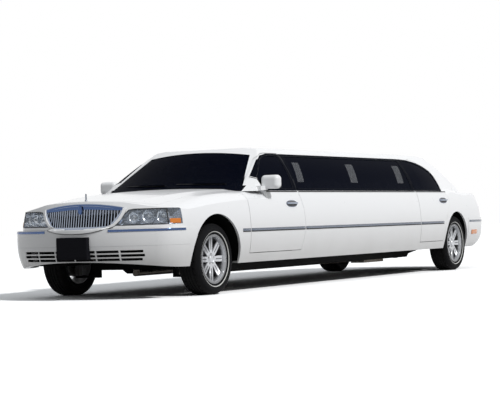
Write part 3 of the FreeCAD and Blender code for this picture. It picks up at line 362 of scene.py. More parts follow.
def wheel_alloy(name, end, axle_y):
    """Painted alloy, darkened deep in its recesses by brake dust and painted shade, and darker round its lip.
    """
    f = Finish(name, coat_weight=0.3, coat_roughness=0.12)
    tone = colours().alloy
    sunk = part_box(f"wheel_{end}_left")[1].x - abs(f.x)
    across = ((f.y - axle_y) * (f.y - axle_y) + (f.z - HUB_HEIGHT) * (f.z - HUB_HEIGHT)) ** 0.5
    lip_wall = across.rise(0.214, 0.217) * sunk.band(0.003, 0.034, 0.001)
    lip_top = across.rise(0.217, 0.221) * (1 - sunk.rise(0.002, 0.003))
    # brake dust and painted shade: near black deep in the wheel, and darker on the wall and top of the lip
    dust = sunk.rise(0.041, 0.046) * 0.95 + lip_wall * 0.85 + lip_top * 0.75
    grain = f.noise(60, 3)
    f.set(base_color=f.mix(dust * (0.8 + 0.2 * grain), tone, (0.022, 0.022, 0.024)))
    f.set(roughness=0.26 + 0.16 * grain + 0.2 * dust, metallic=0.72 - 0.6 * dust)
    return f.bump(f.noise(420, 2), 0.0002, 0.15).material


def tyre_rubber(name, axle_y):
    """Rubber with moulded rings on the walls, a thin white ring and dust on the tread."""
    f = Finish(name, ior=1.25, specular_ior_level=0.25)
    across = ((f.y - axle_y) * (f.y - axle_y) + (f.z - HUB_HEIGHT) * (f.z - HUB_HEIGHT)) ** 0.5
    ring = sizes().white_ring
    white = across.band(ring - 0.0035, ring + 0.0035, 0.0008) * abs(f.x).rise(0.82, 0.84)
    wear = across.rise(0.325, 0.341) * (0.5 + 0.5 * f.noise(25, 3))
    black = f.mix(f.noise(18, 4), (0.003, 0.003, 0.0035), (0.006, 0.006, 0.007))
    dusty = f.mix(wear * 0.3, black, (0.020, 0.019, 0.018))
    f.set(base_color=f.mix(white, dusty, (0.62, 0.62, 0.60)), roughness=0.62 + 0.2 * f.noise(40, 2))
    rings = (across * 1150).sine() * across.band(0.272, 0.312, 0.006)
    return f.bump(rings * 0.6 + f.noise(300, 2) * 0.25, 0.0012, 0.5).material


def black_gloss(name="window_surround_black"):
    """Gloss black of the window surrounds."""
    f = Finish(name, ior=1.06, specular_ior_level=0.1)
    haze = f.noise(7, 3)
    f.set(base_color=f.mix(haze, (0.003, 0.004, 0.008), (0.005, 0.006, 0.010)), roughness=0.18 + 0.12 * haze)
    return f.bump(f.noise(300, 1), 0.0001, 0.08).material


def black_rubber():
    f = Finish("seal_rubber", specular_ior_level=0.25)
    grain = f.noise(60, 3)
    f.set(base_color=f.mix(grain, (0.012, 0.012, 0.013), (0.028, 0.028, 0.028)),
          roughness=0.65 + 0.15 * grain)
    return f.bump(f.noise(500, 2), 0.0002, 0.2).material


def moulded_plastic(name="moulded_plastic", tone=(0.022, 0.022, 0.024)):
    """Dark plastic with a fine leather-like grain."""
    f = Finish(name, specular_ior_level=0.35)
    patch = f.noise(5, 3)
    f.set(base_color=f.mix(patch, shade(tone, 0.8), shade(tone, 1.35)), roughness=0.48 + 0.15 * patch)
    return f.bump(f.cells(420), 0.0004, 0.35).material


def painted_steel():
    """Black chassis paint with dust and a trace of rust in patches."""
    f = Finish("chassis_steel", ior=1.2, specular_ior_level=0.1)
    rust = f.noise(6, 6, 0.7).rise(0.60, 0.72)
    dust = f.noise(2.5, 4)
    tone = f.mix(dust, (0.003, 0.003, 0.0035), (0.010, 0.0095, 0.009))
    f.set(base_color=f.mix(rust * 0.5, tone, (0.050, 0.026, 0.015)), roughness=0.5 + 0.3 * rust)
    return f.bump(f.noise(120, 5), 0.0008, 0.3).material


def cast_iron():
    f = Finish("cast_metal", metallic=0.6, specular_ior_level=0.4)
    grit = f.noise(90, 5)
    oil = f.noise(4, 3).rise(0.5, 0.7)
    tone = f.mix(grit, (0.10, 0.10, 0.105), (0.20, 0.20, 0.20))
    f.set(base_color=f.mix(oil * 0.5, tone, (0.035, 0.030, 0.024)), roughness=0.55 - 0.2 * oil)
    return f.bump(grit, 0.001, 0.4).material


def machined_steel():
    """Turned steel, for brake discs and shafts."""
    f = Finish("machined_steel", metallic=0.9, specular_ior_level=0.5)
    streak = f.noise(160, 3, place=f.stretched(0.2, 1, 1))
    f.set(base_color=f.mix(streak, (0.20, 0.20, 0.20), (0.36, 0.35, 0.34)), roughness=0.30 + 0.2 * streak)
    return f.bump(streak, 0.0002, 0.3).material


def exhaust_pipe():
    f = Finish("exhaust_steel", metallic=0.85, specular_ior_level=0.4)
    heat = f.noise(3, 4)
    tone = f.mix(heat, (0.30, 0.27, 0.24), (0.20, 0.17, 0.14))
    f.set(base_color=f.mix(f.noise(26, 5).rise(0.55, 0.7), tone, (0.10, 0.055, 0.032)))
    f.set(roughness=0.36 + 0.25 * heat)
    return f.bump(f.noise(140, 4), 0.0005, 0.25).material


def seat_leather(name="seat_leather", share=1.0):
    """Leather with pebbled grain and a soft sheen on the worn crowns."""
    f = Finish(name, specular_ior_level=0.45)
    tone = shade(colours().leather, share)
    patch = f.noise(6, 4)
    pebble = f.cells(260)
    f.set(base_color=f.mix(patch * 0.6 + pebble * 0.4, shade(tone, 0.75), shade(tone, 1.5)))
    f.set(roughness=0.42 + 0.2 * patch)
    return f.bump(pebble + 0.5 * f.noise(90, 3), 0.0008, 0.35).material


def cabin_carpet():
    f = Finish("cabin_carpet", specular_ior_level=0.1)
    tuft = f.noise(420, 3)
    f.set(base_color=f.mix(tuft, (0.010, 0.010, 0.012), (0.045, 0.044, 0.048)), roughness=0.92 - 0.05 * tuft)
    return f.bump(tuft, 0.003, 0.8).material


def cabinet_wood():
    """Dark varnished veneer with the grain along the car."""
    f = Finish("cabinet_wood", coat_weight=0.5, coat_roughness=0.1)
    grain = f.noise(9, 6, 0.62, place=f.stretched(9, 0.9, 9))
    pore = f.noise(60, 3, 0.6, place=f.stretched(12, 0.5, 12))
    tone = f.mix(grain.rise(0.35, 0.65), (0.055, 0.020, 0.009), (0.150, 0.062, 0.026))
    f.set(base_color=f.mix(pore.rise(0.60, 0.75) * 0.5, tone, (0.022, 0.009, 0.005)),
          roughness=0.28 + 0.1 * grain)
    return f.bump(pore, 0.0003, 0.3).material


def lens(name, tone, alpha, flute=0.0):
    """Lamp cover, plain or with upright flutes."""
    f = Finish(name, ior=1.49, specular_ior_level=0.4, coat_weight=0.2)
    cloud = f.noise(12, 3)
    f.set(base_color=f.mix(cloud, shade(tone, 0.92), shade(tone, 1.05)), roughness=0.05 + 0.05 * cloud)
    f.set(alpha=alpha + 0.04 * cloud)
    if flute:
        f.bump((f.x * flute).sine() + (f.z * flute).sine() * 0.3, 0.0012, 0.35)
    return f.material


def lamp_reflector():
    f = Finish("lamp_reflector", metallic=0.95, specular_ior_level=0.5)
    facet = f.cells(70)
    f.set(base_color=f.mix(facet, (0.28, 0.32, 0.38), (0.90, 0.93, 0.97)), roughness=0.10 + 0.15 * facet)
    return f.bump(facet, 0.0015, 0.35).material


def blank_plate():
    """Black enamel plate with a faint brushed grain."""
    f = Finish("blank_plate", ior=1.12, specular_ior_level=0.2)
    brush = f.noise(40, 3, place=f.stretched(0.4, 8, 8))
    f.set(base_color=f.mix(brush, (0.006, 0.006, 0.008), (0.013, 0.013, 0.016)),
          roughness=0.30 + 0.15 * brush)
    return f.bump(brush, 0.0002, 0.15).material


def frosted_stripe():
    """Hatched privacy stripe on the glass."""
    f = Finish("frosted_stripe", specular_ior_level=0.1)
    hatch = ((f.y * 0.35 + f.z) * 330).sine().rise(-0.5, 0.3)
    f.set(base_color=f.mix(hatch, (0.06, 0.065, 0.075), (0.13, 0.135, 0.145)), roughness=0.55 + 0.1 * hatch)
    f.set(alpha=0.35 + 0.5 * hatch)
    return f.material


def mirror_silver():
    f = Finish("mirror_silver", metallic=1.0, specular_ior_level=0.5)
    haze = f.noise(20, 2)
    f.set(base_color=f.mix(haze, (0.74, 0.76, 0.79), (0.80, 0.82, 0.84)), roughness=0.03 + 0.04 * haze)
    return f.material


FINISHES = {}


def finish_named(name):
    if name not in FINISHES:
        raise RuntimeError("run the finishes operator first: no finish " + name)
    return FINISHES[name]


def make_finishes():
    """Every finish of the car, by its own short name."""
    # the chrome colour carries a painted reflection of dark blue surroundings
    chrome = tuple(colours().chrome)
    made = {
        "paint": body_paint("body_paint"),
        "banded paint": body_paint("banded_body_paint", window_band_mask),
        "slotted paint": body_paint("slotted_bumper_paint", slot_painted_shade_mask),
        "side glass": window_glass("tinted_side_glass", 0.972),
        "door glass": window_glass("tinted_door_glass", 0.94),
        "windshield": window_glass("windshield_glass", 0.80, 0.9),
        "chrome": bright_metal("bright_chrome", chrome),
        # strip chrome at half that colour: a darker painted reflection
        "strip chrome": bright_metal("strip_chrome", shade(chrome, 0.5), 0.14),
        # dark blue base colour: a painted reflection of dark blue surroundings on the chrome
        "blue chrome": bright_metal("blued_chrome", (0.070, 0.110, 0.225), 0.10),
        "front alloy": wheel_alloy("front_wheel_alloy", "front", FRONT_AXLE),
        "rear alloy": wheel_alloy("rear_wheel_alloy", "rear", REAR_AXLE),
        "front tyre": tyre_rubber("front_tyre_rubber", FRONT_AXLE),
        "rear tyre": tyre_rubber("rear_tyre_rubber", REAR_AXLE),
        "black gloss": black_gloss(),
        "rubber": black_rubber(),
        "plastic": moulded_plastic(),
        "grey plastic": moulded_plastic("grey_moulded_plastic", (0.11, 0.11, 0.115)),
        "chassis": painted_steel(),
        "cast": cast_iron(),
        "steel": machined_steel(),
        "exhaust": exhaust_pipe(),
        "leather": seat_leather(),
        "welt": seat_leather("seat_welt_leather", 2.2),
        "carpet": cabin_carpet(),
        "wood": cabinet_wood(),
        "clear lens": lens("clear_lamp_lens", (0.60, 0.66, 0.74), 0.09),
        "red lens": lens("red_lamp_lens", tuple(colours().red), 0.92, 700),
        "amber lens": lens("amber_lamp_lens", tuple(colours().amber), 0.85, 500),
        "white lens": lens("white_lamp_lens", (0.62, 0.64, 0.66), 0.8, 600),
        "reflector": lamp_reflector(),
        # dark blue-grey base colour on the plated housing: a painted reflection of dark surroundings
        "lamp housing": bright_metal("lamp_housing", (0.15, 0.17, 0.21), 0.24),
        "groove": moulded_plastic("spoke_groove", (0.05, 0.05, 0.055)),
        "seam grey": moulded_plastic("seam_grey", (0.50, 0.50, 0.51)),
        "plate": blank_plate(),
        "stripe": frosted_stripe(),
        "mirror": mirror_silver(),
    }
    FINISHES.clear()
    FINISHES.update(made)


PAINTED = ("fenders", "hood", "nose_panel", "roof", "tail_panel", "trunk_lid", "rear_bumper")
NODE_FINISHES = {
    "paint": PAINTED + ("mirror",),
    "banded paint": ("body_side", "door_front", "door_rear"),
    "slotted paint": ("front_bumper",),
    "side glass": ("side_glass", "rear_window", "door_glass_rear"),
    "door glass": ("door_glass_front",),
    "windshield": ("windshield",),
    "chrome": ("grille_frame", "grille_bars"),
    "clear lens": ("headlamps",),
    "red lens": ("tail_lamps",),
    "front alloy": ("wheel_front",),
    "rear alloy": ("wheel_rear",),
    "front tyre": ("tyre_front",),
    "rear tyre": ("tyre_rear",),
    "chassis": ("frame_rails", "crossmembers", "front_suspension", "rear_axle", "fuel_tank", "wheel_houses"),
    "cast": ("engine_block", "knuckle"),
    "steel": ("driveshaft",),
    "exhaust": ("exhaust",),
    "plastic": ("cowl", "dashboard", "radiator", "rear_shelf", "steering_wheel"),
    "leather": ("front_seats", "rear_seats", "partition"),
    "carpet": ("floor_pan",),
    "wood": ("bar_cabinet",),
    "plate": ("front_plate", "rear_plate"),
}


def dress_nodes():
    """Give every CAD node its finish."""
    for finish, names in NODE_FINISHES.items():
        for node_name, node in NODES.items():
            stem = node_name.replace("_left", "").replace("_right", "")
            if stem in names:
                wear(node, FINISHES[finish])
    bare = [name for name, node in NODES.items() if node.material_slots[0].link != "OBJECT"]
    if bare:
        raise RuntimeError("no finish for " + ", ".join(bare))


def wear(obj, material):
    """Put a material in each of the object's slots."""
    for slot in obj.material_slots:
        slot.link = "OBJECT"
        slot.material = material


# ---------------------------------------------------------------- making pieces

def fresh():
    """Back to object mode with nothing selected."""
    if bpy.context.object is not None and bpy.context.object.mode != "OBJECT":
        bpy.ops.object.mode_set(mode="OBJECT")
    bpy.ops.object.select_all(action="DESELECT")


def choose(*objs):
    """Select these objects; the first is active."""
    fresh()
    for obj in objs:
        obj.select_set(True)
    bpy.context.view_layer.objects.active = objs[0]
    return objs[0]


def edit(obj, kind="FACE"):
    choose(obj)
    bpy.ops.object.mode_set(mode="EDIT")
    bpy.ops.mesh.select_mode(type=kind)
    bpy.ops.mesh.select_all(action="SELECT")


def pick(obj, test):
    """Select the faces whose centre and normal pass the test, and stay in edit mode."""
    edit(obj)
    bpy.ops.mesh.select_all(action="DESELECT")
    bpy.ops.object.mode_set(mode="OBJECT")
    for face in obj.data.polygons:
        face.select = bool(test(face.center, face.normal))
    bpy.ops.object.mode_set(mode="EDIT")


def settle(obj):
    """Object at the origin, unturned and unscaled, with its place in its mesh."""
    choose(obj)
    bpy.ops.object.transform_apply(location=True, rotation=True, scale=True)
    return obj


def apply(obj, kind, **settings):
    """Add a modifier and apply it."""
    choose(obj)
    modifier = obj.modifiers.new(kind.title(), kind)
    for name, value in settings.items():
        setattr(modifier, name, value)
    bpy.ops.object.modifier_apply(modifier=modifier.name)
    return obj


def outward(obj):
    """Merge doubles and turn every face outward."""
    edit(obj)
    bpy.ops.mesh.remove_doubles(threshold=0.00002)
    bpy.ops.mesh.normals_make_consistent(inside=False)
    bpy.ops.object.mode_set(mode="OBJECT")
    return obj


def facing(obj, direction):
    """Turn an open sheet so that it faces the direction."""
    lean = sum((face.normal * face.area for face in obj.data.polygons), Vector())
    if lean.dot(Vector(direction)) < 0:
        edit(obj)
        bpy.ops.mesh.flip_normals()
        bpy.ops.object.mode_set(mode="OBJECT")
    return obj


def done(obj, body, finish, slot, angle=35):
    """Finish a piece: outward faces, smooth shading, its material, body and slot."""
    settle(obj)
    outward(obj)
    choose(obj)
    bpy.ops.object.shade_smooth_by_angle(angle=math.radians(angle))
    obj.data.materials.clear()
    obj.data.materials.append(finish_named(finish))
    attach(obj, body)
    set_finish(obj, slot)
    return obj


def copied(obj, name, move=(0, 0, 0), mirror=False, body=None):
    """A copy with its own mesh, moved or mirrored across the car, on its own body."""
    choose(obj)
    bpy.ops.object.duplicate()
    twin = bpy.context.object
    twin.name = name
    if twin.parent is not None:
        bpy.ops.object.parent_clear(type="CLEAR_KEEP_TRANSFORM")
    twin.location = Vector(move)
    if mirror:
        twin.scale = (-1, 1, 1)
    settle(twin)
    if mirror:
        outward(twin)
    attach(twin, body or obj["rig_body"])
    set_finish(twin, obj["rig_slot"])
    return twin


def on_both_sides(obj, body):
    """Finish the name of a left piece and mirror it to the right."""
    stem = obj.name.replace("_left", "")
    obj.name = stem + "_left"
    return copied(obj, stem + "_right", mirror=True, body=body.replace("_left", "_right"))


def done_both(obj, body, finish, slot):
    """Finish a left piece and mirror it to the right."""
    done(obj, body, finish, slot)
    return on_both_sides(obj, body)


def chain(name, points, closed=False, face=False):
    """A line of edges through the points, grown from one vertex."""
    points = [Vector(p) for p in points]
    fresh()
    bpy.ops.mesh.primitive_plane_add(size=0.01, location=points[0])
    obj = bpy.context.object
    obj.name = name
    settle(obj)
    edit(obj, "VERT")
    bpy.ops.mesh.merge(type="CENTER")
    for a, b in zip(points, points[1:]):
        bpy.ops.mesh.extrude_vertices_move(TRANSFORM_OT_translate={"value": b - a})
    if closed and not face:
        bpy.ops.mesh.select_all(action="DESELECT")
        bpy.ops.object.mode_set(mode="OBJECT")
        obj.data.vertices[0].select = True
        obj.data.vertices[len(points) - 1].select = True
        bpy.ops.object.mode_set(mode="EDIT")
        bpy.ops.mesh.edge_face_add()
    if face:
        bpy.ops.mesh.select_all(action="SELECT")
        bpy.ops.mesh.edge_face_add()
    bpy.ops.object.mode_set(mode="OBJECT")
    return obj


def parted(points, parts, closed=True):
    """The same outline with each of its edges in equal parts."""
    points = [Vector(p) for p in points]
    ends = points[1:] + points[:1] if closed else points[1:]
    line = [a.lerp(b, i / parts) for a, b in zip(points, ends) for i in range(parts)]
    return line if closed else line + [points[-1]]


def joined(*objs):
    """One object from several, named as the first."""
    choose(*objs)
    bpy.ops.object.join()
    return objs[0]


def ribbon(name, points, across, cuts=1):
    """A strip swept from a line of points by the vector across."""
    obj = chain(name, points)
    edit(obj, "EDGE")
    for _ in range(cuts):
        bpy.ops.mesh.extrude_region_move(TRANSFORM_OT_translate={"value": Vector(across) / cuts})
    bpy.ops.object.mode_set(mode="OBJECT")
    return obj


def turned(name, profile, centre, axis=(1, 0, 0), steps=48):
    """A lathe shape: profile gives (radius, distance along the axis) from the centre."""
    centre = Vector(centre)
    axis = Vector(axis).normalized()
    side = Vector((0, 0, 1)) if abs(axis.z) < 0.9 else Vector((0, 1, 0))
    side = (side - axis * side.dot(axis)).normalized()
    obj = chain(name, [centre + side * r + axis * d for r, d in profile])
    edit(obj, "EDGE")
    bpy.ops.mesh.spin(steps=steps, angle=math.tau, center=centre, axis=axis, use_auto_merge=True)
    bpy.ops.object.mode_set(mode="OBJECT")
    return outward(obj)


def rod(name, points, radius, smooth=True):
    """A round bar through the points."""
    obj = chain(name, points)
    choose(obj)
    bpy.ops.object.convert(target="CURVE")
    obj = bpy.context.object
    if smooth:
        bpy.ops.object.mode_set(mode="EDIT")
        bpy.ops.curve.select_all(action="SELECT")
        bpy.ops.curve.spline_type_set(type="BEZIER")
        bpy.ops.curve.handle_type_set(type="AUTOMATIC")
        bpy.ops.object.mode_set(mode="OBJECT")
    obj.data.bevel_depth = radius
    obj.data.bevel_resolution = 3
    obj.data.use_fill_caps = True
    bpy.ops.object.convert(target="MESH")
    return outward(bpy.context.object)


def block(name, low, high, radius=0.004, segments=3):
    """A box with rounded edges."""
    low, high = Vector(low), Vector(high)
    fresh()
    bpy.ops.mesh.primitive_cube_add(size=1, location=(low + high) / 2, scale=high - low)
    obj = bpy.context.object
    obj.name = name
    settle(obj)
    return apply(obj, "BEVEL", width=radius, segments=segments, limit_method="ANGLE")


def laid(obj, target, axis="X", toward=-1, lift=0.0):
    """Project a flat shape onto the body along an axis. A point over a shut line follows its neighbour."""
    settings = {
        "target": target,
        "wrap_method": "PROJECT",
        "wrap_mode": "ABOVE_SURFACE",
        "offset": lift,
        "use_negative_direction": toward < 0,
        "use_positive_direction": toward > 0,
    }
    if axis:
        settings["use_project_" + axis.lower()] = True
    before = [v.co.copy() for v in obj.data.vertices]
    apply(obj, "SHRINKWRAP", **settings)
    moves = [v.co - a for a, v in zip(before, obj.data.vertices)]
    hits = [i for i, move in enumerate(moves) if 0.02 < move.length < 0.9]
    if len(hits) < 0.8 * len(moves):
        raise RuntimeError(f"{obj.name} misses the body")
    for i in set(range(len(moves))) - set(hits):
        near = min(hits, key=lambda h: (before[h] - before[i]).length)
        obj.data.vertices[i].co = before[i] + moves[near]
    return obj


def thick(obj, thickness, out=(1, 0, 0), round_edge=0.0):
    """Give a laid sheet its thickness on the outside, with rounded edges."""
    facing(obj, out)
    apply(obj, "SOLIDIFY", thickness=thickness, offset=1.0)
    if round_edge:
        apply(obj, "BEVEL", width=round_edge, segments=2, limit_method="ANGLE", angle_limit=math.radians(50))
    return obj


FORMS = {}
SIDE_PARTS = ("body_side_left", "door_front_left", "door_rear_left", "door_glass_front_left",
              "door_glass_rear_left", "side_glass", "roof", "fenders", "front_bumper", "rear_bumper")
TOP_PARTS = ("hood", "fenders", "cowl", "windshield", "roof", "rear_window", "trunk_lid", "nose_panel",
             "body_side_left", "body_side_right")
FRONT_PARTS = ("front_bumper", "nose_panel", "grille_frame", "fenders", "headlamps")
REAR_PARTS = ("rear_bumper", "trunk_lid", "tail_panel", "tail_lamps")


def form(name, nodes):
    """A joined copy of nodes that trim is laid on. It is thrown away at the end."""
    if name in FORMS:
        return FORMS[name]
    choose(*[NODES[n] for n in nodes])
    bpy.ops.object.duplicate()
    copies = list(bpy.context.selected_objects)
    for copy in copies:
        for key in list(copy.keys()):
            del copy[key]
    bpy.ops.object.parent_clear(type="CLEAR_KEEP_TRANSFORM")
    choose(*copies)
    bpy.ops.object.join()
    obj = bpy.context.object
    obj.name = "form_" + name
    obj.hide_render = True
    FORMS[name] = obj
    return obj


def side_form():
    return form("side", SIDE_PARTS)


def take_forms():
    """Take the copies while every node still shows."""
    for name, nodes in (("side", SIDE_PARTS), ("top", TOP_PARTS), ("front", FRONT_PARTS),
                        ("rear", REAR_PARTS), ("headlamps", ("headlamps",))):
        form(name, nodes)


def throw_forms_away():
    """Delete the copies that trim was laid on."""
    for obj in FORMS.values():
        choose(obj)
        bpy.ops.object.delete()
    FORMS.clear()


def surface_point(target, start, direction):
    """Where a line from start first meets the target, and its normal there."""
    hit, place, normal, _ = target.ray_cast(Vector(start), Vector(direction).normalized())
    if not hit:
        raise RuntimeError(f"nothing at {tuple(start)} towards {tuple(direction)}")
    return place, normal


def circle(steps):
    """Cosine and sine of equal steps round a circle."""
    return [(math.cos(math.tau * i / steps), math.sin(math.tau * i / steps)) for i in range(steps)]


def squarer(value, power):
    """A sine or cosine pushed outwards, for outlines between a circle and a square."""
    return math.copysign(abs(value) ** power, value)


def side_points(pairs, axle=FRONT_AXLE):
    """Points out beside the left of the car from (distance behind the axle, height)."""
    return [(OUTSIDE, axle + y, z) for y, z in pairs]


# ---------------------------------------------------------------- side trim

FRONT_SURROUND = [(1.004, BELT), (0.960, 1.158), (1.228, 1.330), (1.342, 1.377), (1.520, RAIL), (1.770, RAIL),
                  (1.711, BELT)]
FRONT_OPENING = [(1.016, GLASS_FOOT), (0.973, 1.143), (1.239, 1.311), (1.352, 1.358),
                 (1.524, GLASS_TOP), (1.744, GLASS_TOP), (1.664, GLASS_FOOT)]
MID_SURROUND = [(1.720, BELT), (1.783, RAIL), (WHEELBASE - 1.184, RAIL), (WHEELBASE - 1.249, BELT)]
MID_OPENING = [(1.773, GLASS_FOOT), (1.848, GLASS_TOP), (WHEELBASE - 1.220, GLASS_TOP),
               (WHEELBASE - 1.282, GLASS_FOOT)]
REAR_SURROUND = [(-1.237, BELT), (-1.173, RAIL), (-1.142, RAIL), (-0.900, 1.392), (-0.664, 1.357),
                 (-0.520, 1.316), (-0.405, 1.264), (-0.345, 1.205), (-0.322, 1.130), (-0.296, BELT)]
REAR_OPENING = [(-1.206, GLASS_FOOT), (-1.148, GLASS_TOP), (-1.110, GLASS_TOP), (-0.880, 1.367),
                (-0.664, 1.333), (-0.530, 1.296), (-0.414, 1.244), (-0.370, 1.200), (-0.347, 1.148),
                (-0.320, GLASS_FOOT)]


def window_surround(name, outer, opening, axle, body):
    """Black frame between two outlines, laid flush on the side."""
    ring = joined(
        chain(name, parted(side_points(outer, axle), 6), closed=True),
        chain(name + "_opening", parted(side_points(opening, axle), 6), closed=True),
    )
    edit(ring, "EDGE")
    bpy.ops.mesh.bridge_edge_loops(number_cuts=2, interpolation="LINEAR")
    laid(ring, side_form())
    thick(ring, sizes().surround_thickness)
    return done_both(ring, body, "black gloss", "trim_plastic")


def side_strip(name, start, end, low, high, thickness, body, finish, slot, axle=FRONT_AXLE, mirror=True):
    """A moulding along the side, from start to end behind the axle."""
    parts = max(2, round((end - start) / 0.07))
    line = parted(side_points([(start, low), (end, low)], axle), parts, closed=False)
    strip = ribbon(name, line, (0, 0, high - low), 3)
    laid(strip, side_form())
    thick(strip, thickness, round_edge=min(thickness, high - low) * 0.4)
    return (done_both if mirror else done)(strip, body, finish, slot)


def side_mouldings():
    """Bright strip with a dark foot along each panel."""
    tall, proud = sizes().moulding_height, sizes().moulding_thickness
    runs = [
        ("fender", 0.425, 0.580, "car_body", FRONT_AXLE),
        ("front_door", 0.598, 1.756, "front_door_left", FRONT_AXLE),
        ("long_panel", 1.780, WHEELBASE - 1.220, "car_body", FRONT_AXLE),
        ("rear_door", -1.200, -0.500, "rear_door_left", REAR_AXLE),
    ]
    for stem, start, end, body, axle in runs:
        low = 0.604
        side_strip(stem + "_moulding", start, end, low, low + tall, proud, body,
                   "strip chrome", "chrome", axle)
        side_strip(stem + "_moulding_foot", start, end, low - 0.010, low - 0.001, proud * 0.8, body,
                   "rubber", "trim_plastic", axle)


def belt_seals():
    """Rubber wiper seal under each window."""
    runs = [
        ("front_door", 1.024, 1.700, "front_door_left", FRONT_AXLE),
        ("long_window", 1.730, WHEELBASE - 1.256, "car_body", FRONT_AXLE),
        ("rear_door", -1.230, -0.302, "rear_door_left", REAR_AXLE),
    ]
    for stem, start, end, body, axle in runs:
        side_strip(stem + "_belt_seal", start, end, 0.9885, 0.9995, 0.004, body,
                   "rubber", "trim_plastic", axle)


def privacy_stripes():
    """Three slanted hatched stripes on the long window."""
    places = [(1.841, 1.985), (3.142, 3.322), (4.425, 4.600)]
    for number, (start, end) in enumerate(places, 1):
        lower = parted(side_points([(start, 1.098), (end, 1.098)]), 6, closed=False)
        upper = parted(side_points([(start + 0.124, 1.312), (end + 0.130, 1.312)]), 6, closed=False)
        stripe = between(f"window_stripe_{number}", lower, upper, 8)
        laid(stripe, side_form())
        thick(stripe, 0.0006)
        done_both(stripe, "car_body", "stripe", "window_glass")


def door_handle(name, start, height, body):
    """Bright pull handle over an oval dish with a bright rim."""
    reach = sizes().handle_length
    centre = start + reach / 2

    def oval(half, tall):
        return [(centre + half * abs(c) ** 0.8 * (1 if c > 0 else -1), height + tall * s)
                for c, s in circle(28)]

    dish = chain(name + "_dish_left", side_points(oval(reach * 0.50, 0.034)), face=True)
    edit(dish)
    bpy.ops.mesh.inset(thickness=0.006)
    bpy.ops.mesh.inset(thickness=0.010)
    bpy.ops.mesh.poke()
    laid(dish, side_form())
    thick(dish, 0.0018, round_edge=0.0006)
    done_both(dish, body, "grey plastic", "trim_plastic")
    rim = joined(
        chain(name + "_rim_left", side_points(oval(reach * 0.505, 0.036)), closed=True),
        chain(name + "_rim_inner", side_points(oval(reach * 0.480, 0.031)), closed=True),
    )
    edit(rim, "EDGE")
    bpy.ops.mesh.bridge_edge_loops()
    laid(rim, side_form())
    thick(rim, 0.004, round_edge=0.0012)
    done_both(rim, body, "chrome", "chrome")
    places = []
    for share, lift in ((0.06, 0.004), (0.10, 0.020), (0.3, 0.027), (0.5, 0.029), (0.7, 0.027), (0.90, 0.020),
                        (0.94, 0.004)):
        at, _ = surface_point(side_form(), (OUTSIDE, FRONT_AXLE + start + reach * share, height + 0.006),
                              (-1, 0, 0))
        places.append(at + Vector((lift, 0, 0)))
    bar = rod(name + "_left", places, 0.0085)
    choose(bar)
    done_both(bar, body, "chrome", "chrome")


# ---------------------------------------------------------------- front end

def ahead_point(x, z, lift=0.0):
    """Point on the front of the car, straight ahead of (x, z)."""
    place, normal = surface_point(form("front", FRONT_PARTS), (x, FRONT_AXLE - 1.6, z), (0, 1, 0))
    return place + normal * lift


def round_point(angle, z, lift=0.0, node_form=None):
    """Point on the left front corner, seen along a level line turned by the angle from straight ahead."""
    turn = math.radians(angle)
    toward = Vector((-math.sin(turn), math.cos(turn), 0))
    middle_of_turn = Vector((0.62, FRONT_AXLE - 0.68, z))
    place, normal = surface_point(node_form or form("front", FRONT_PARTS),
                                  middle_of_turn - toward * 0.9, toward)
    return place + normal * lift


def between(name, lower, upper, cuts=2):
    """A sheet between two lines with the same number of points."""
    sheet = joined(chain(name, lower), chain(name + "_upper", upper))
    edit(sheet, "EDGE")
    bpy.ops.mesh.bridge_edge_loops(number_cuts=cuts, interpolation="LINEAR")
    bpy.ops.object.mode_set(mode="OBJECT")
    return sheet


def grille_arch(x):
    """Top edge of the grille opening at x."""
    return 0.901 - 0.042 * (x / 0.448) ** 2


def grille_header():
    """Broad bright visor along the top of the grille, with a plain oval boss."""
    across = [0.434 * i / 12 for i in range(-12, 13)]
    face = [ahead_point(x, grille_arch(x) - 0.006).y - 0.002 for x in across]
    deep = [0.050 - 0.022 * abs(x / 0.434) ** 3 for x in across]
    upper = [(x, y, grille_arch(x) - 0.001) for x, y in zip(across, face)]
    lower = [(x, y - 0.006, grille_arch(x) - d) for x, y, d in zip(across, face, deep)]
    visor = between("grille_header", lower, upper)
    thick(visor, 0.012, (0, 1, 0), 0.003)
    done(visor, "car_body", "blue chrome", "chrome")
    front = min(face) - 0.012
    boss = chain("grille_boss", [(0.024 * c, front, 0.848 + 0.044 * s) for c, s in circle(28)],
                 face=True)
    edit(boss)
    bpy.ops.mesh.extrude_region_move(TRANSFORM_OT_translate={"value": (0, -0.006, 0)})
    bpy.ops.mesh.inset(thickness=0.005)
    bpy.ops.mesh.inset(thickness=0.004, depth=-0.003)
    bpy.ops.mesh.inset(thickness=0.006, depth=0.002)
    bpy.ops.object.mode_set(mode="OBJECT")
    apply(boss, "SOLIDIFY", thickness=0.001, offset=-1.0)
    done(boss, "car_body", "blue chrome", "chrome")


def grille_lip():
    """Body-colour lip that follows the foot of the grille down into the bumper, over a dark seam."""
    line = [(-0.470, 0.850), (-0.462, 0.806), (-0.428, 0.742), (-0.375, 0.690), (-0.300, 0.655),
            (-0.200, 0.634), (-0.100, 0.624), (0.0, 0.621)]
    line = line + [(-x, z) for x, z in line[-2::-1]]
    path = parted([(x, z, 0) for x, z in line], 3, closed=False)
    for name, drop, tall, proud, finish, slot in (
        ("grille_lip", 0.0, 0.030, 0.010, "paint", "paint"),
        ("grille_lip_seam", -0.0055, 0.0045, 0.003, "rubber", "trim_plastic"),
    ):
        lower = [(p.x, FRONT_AXLE - 1.4, p.y + drop) for p in path]
        upright = [min(1.0, abs(p.x) / 0.47) ** 2 for p in path]
        upper = [(x - math.copysign(tall * k, x), y, z + tall * (1.2 - k))
                 for (x, y, z), k in zip(lower, upright)]
        lip = between(name, lower, upper, 3)
        laid(lip, form("front", FRONT_PARTS), "Y", 1)
        thick(lip, proud, (0, -1, 0), proud * 0.4)
        done(lip, "car_body", finish, slot, 50)


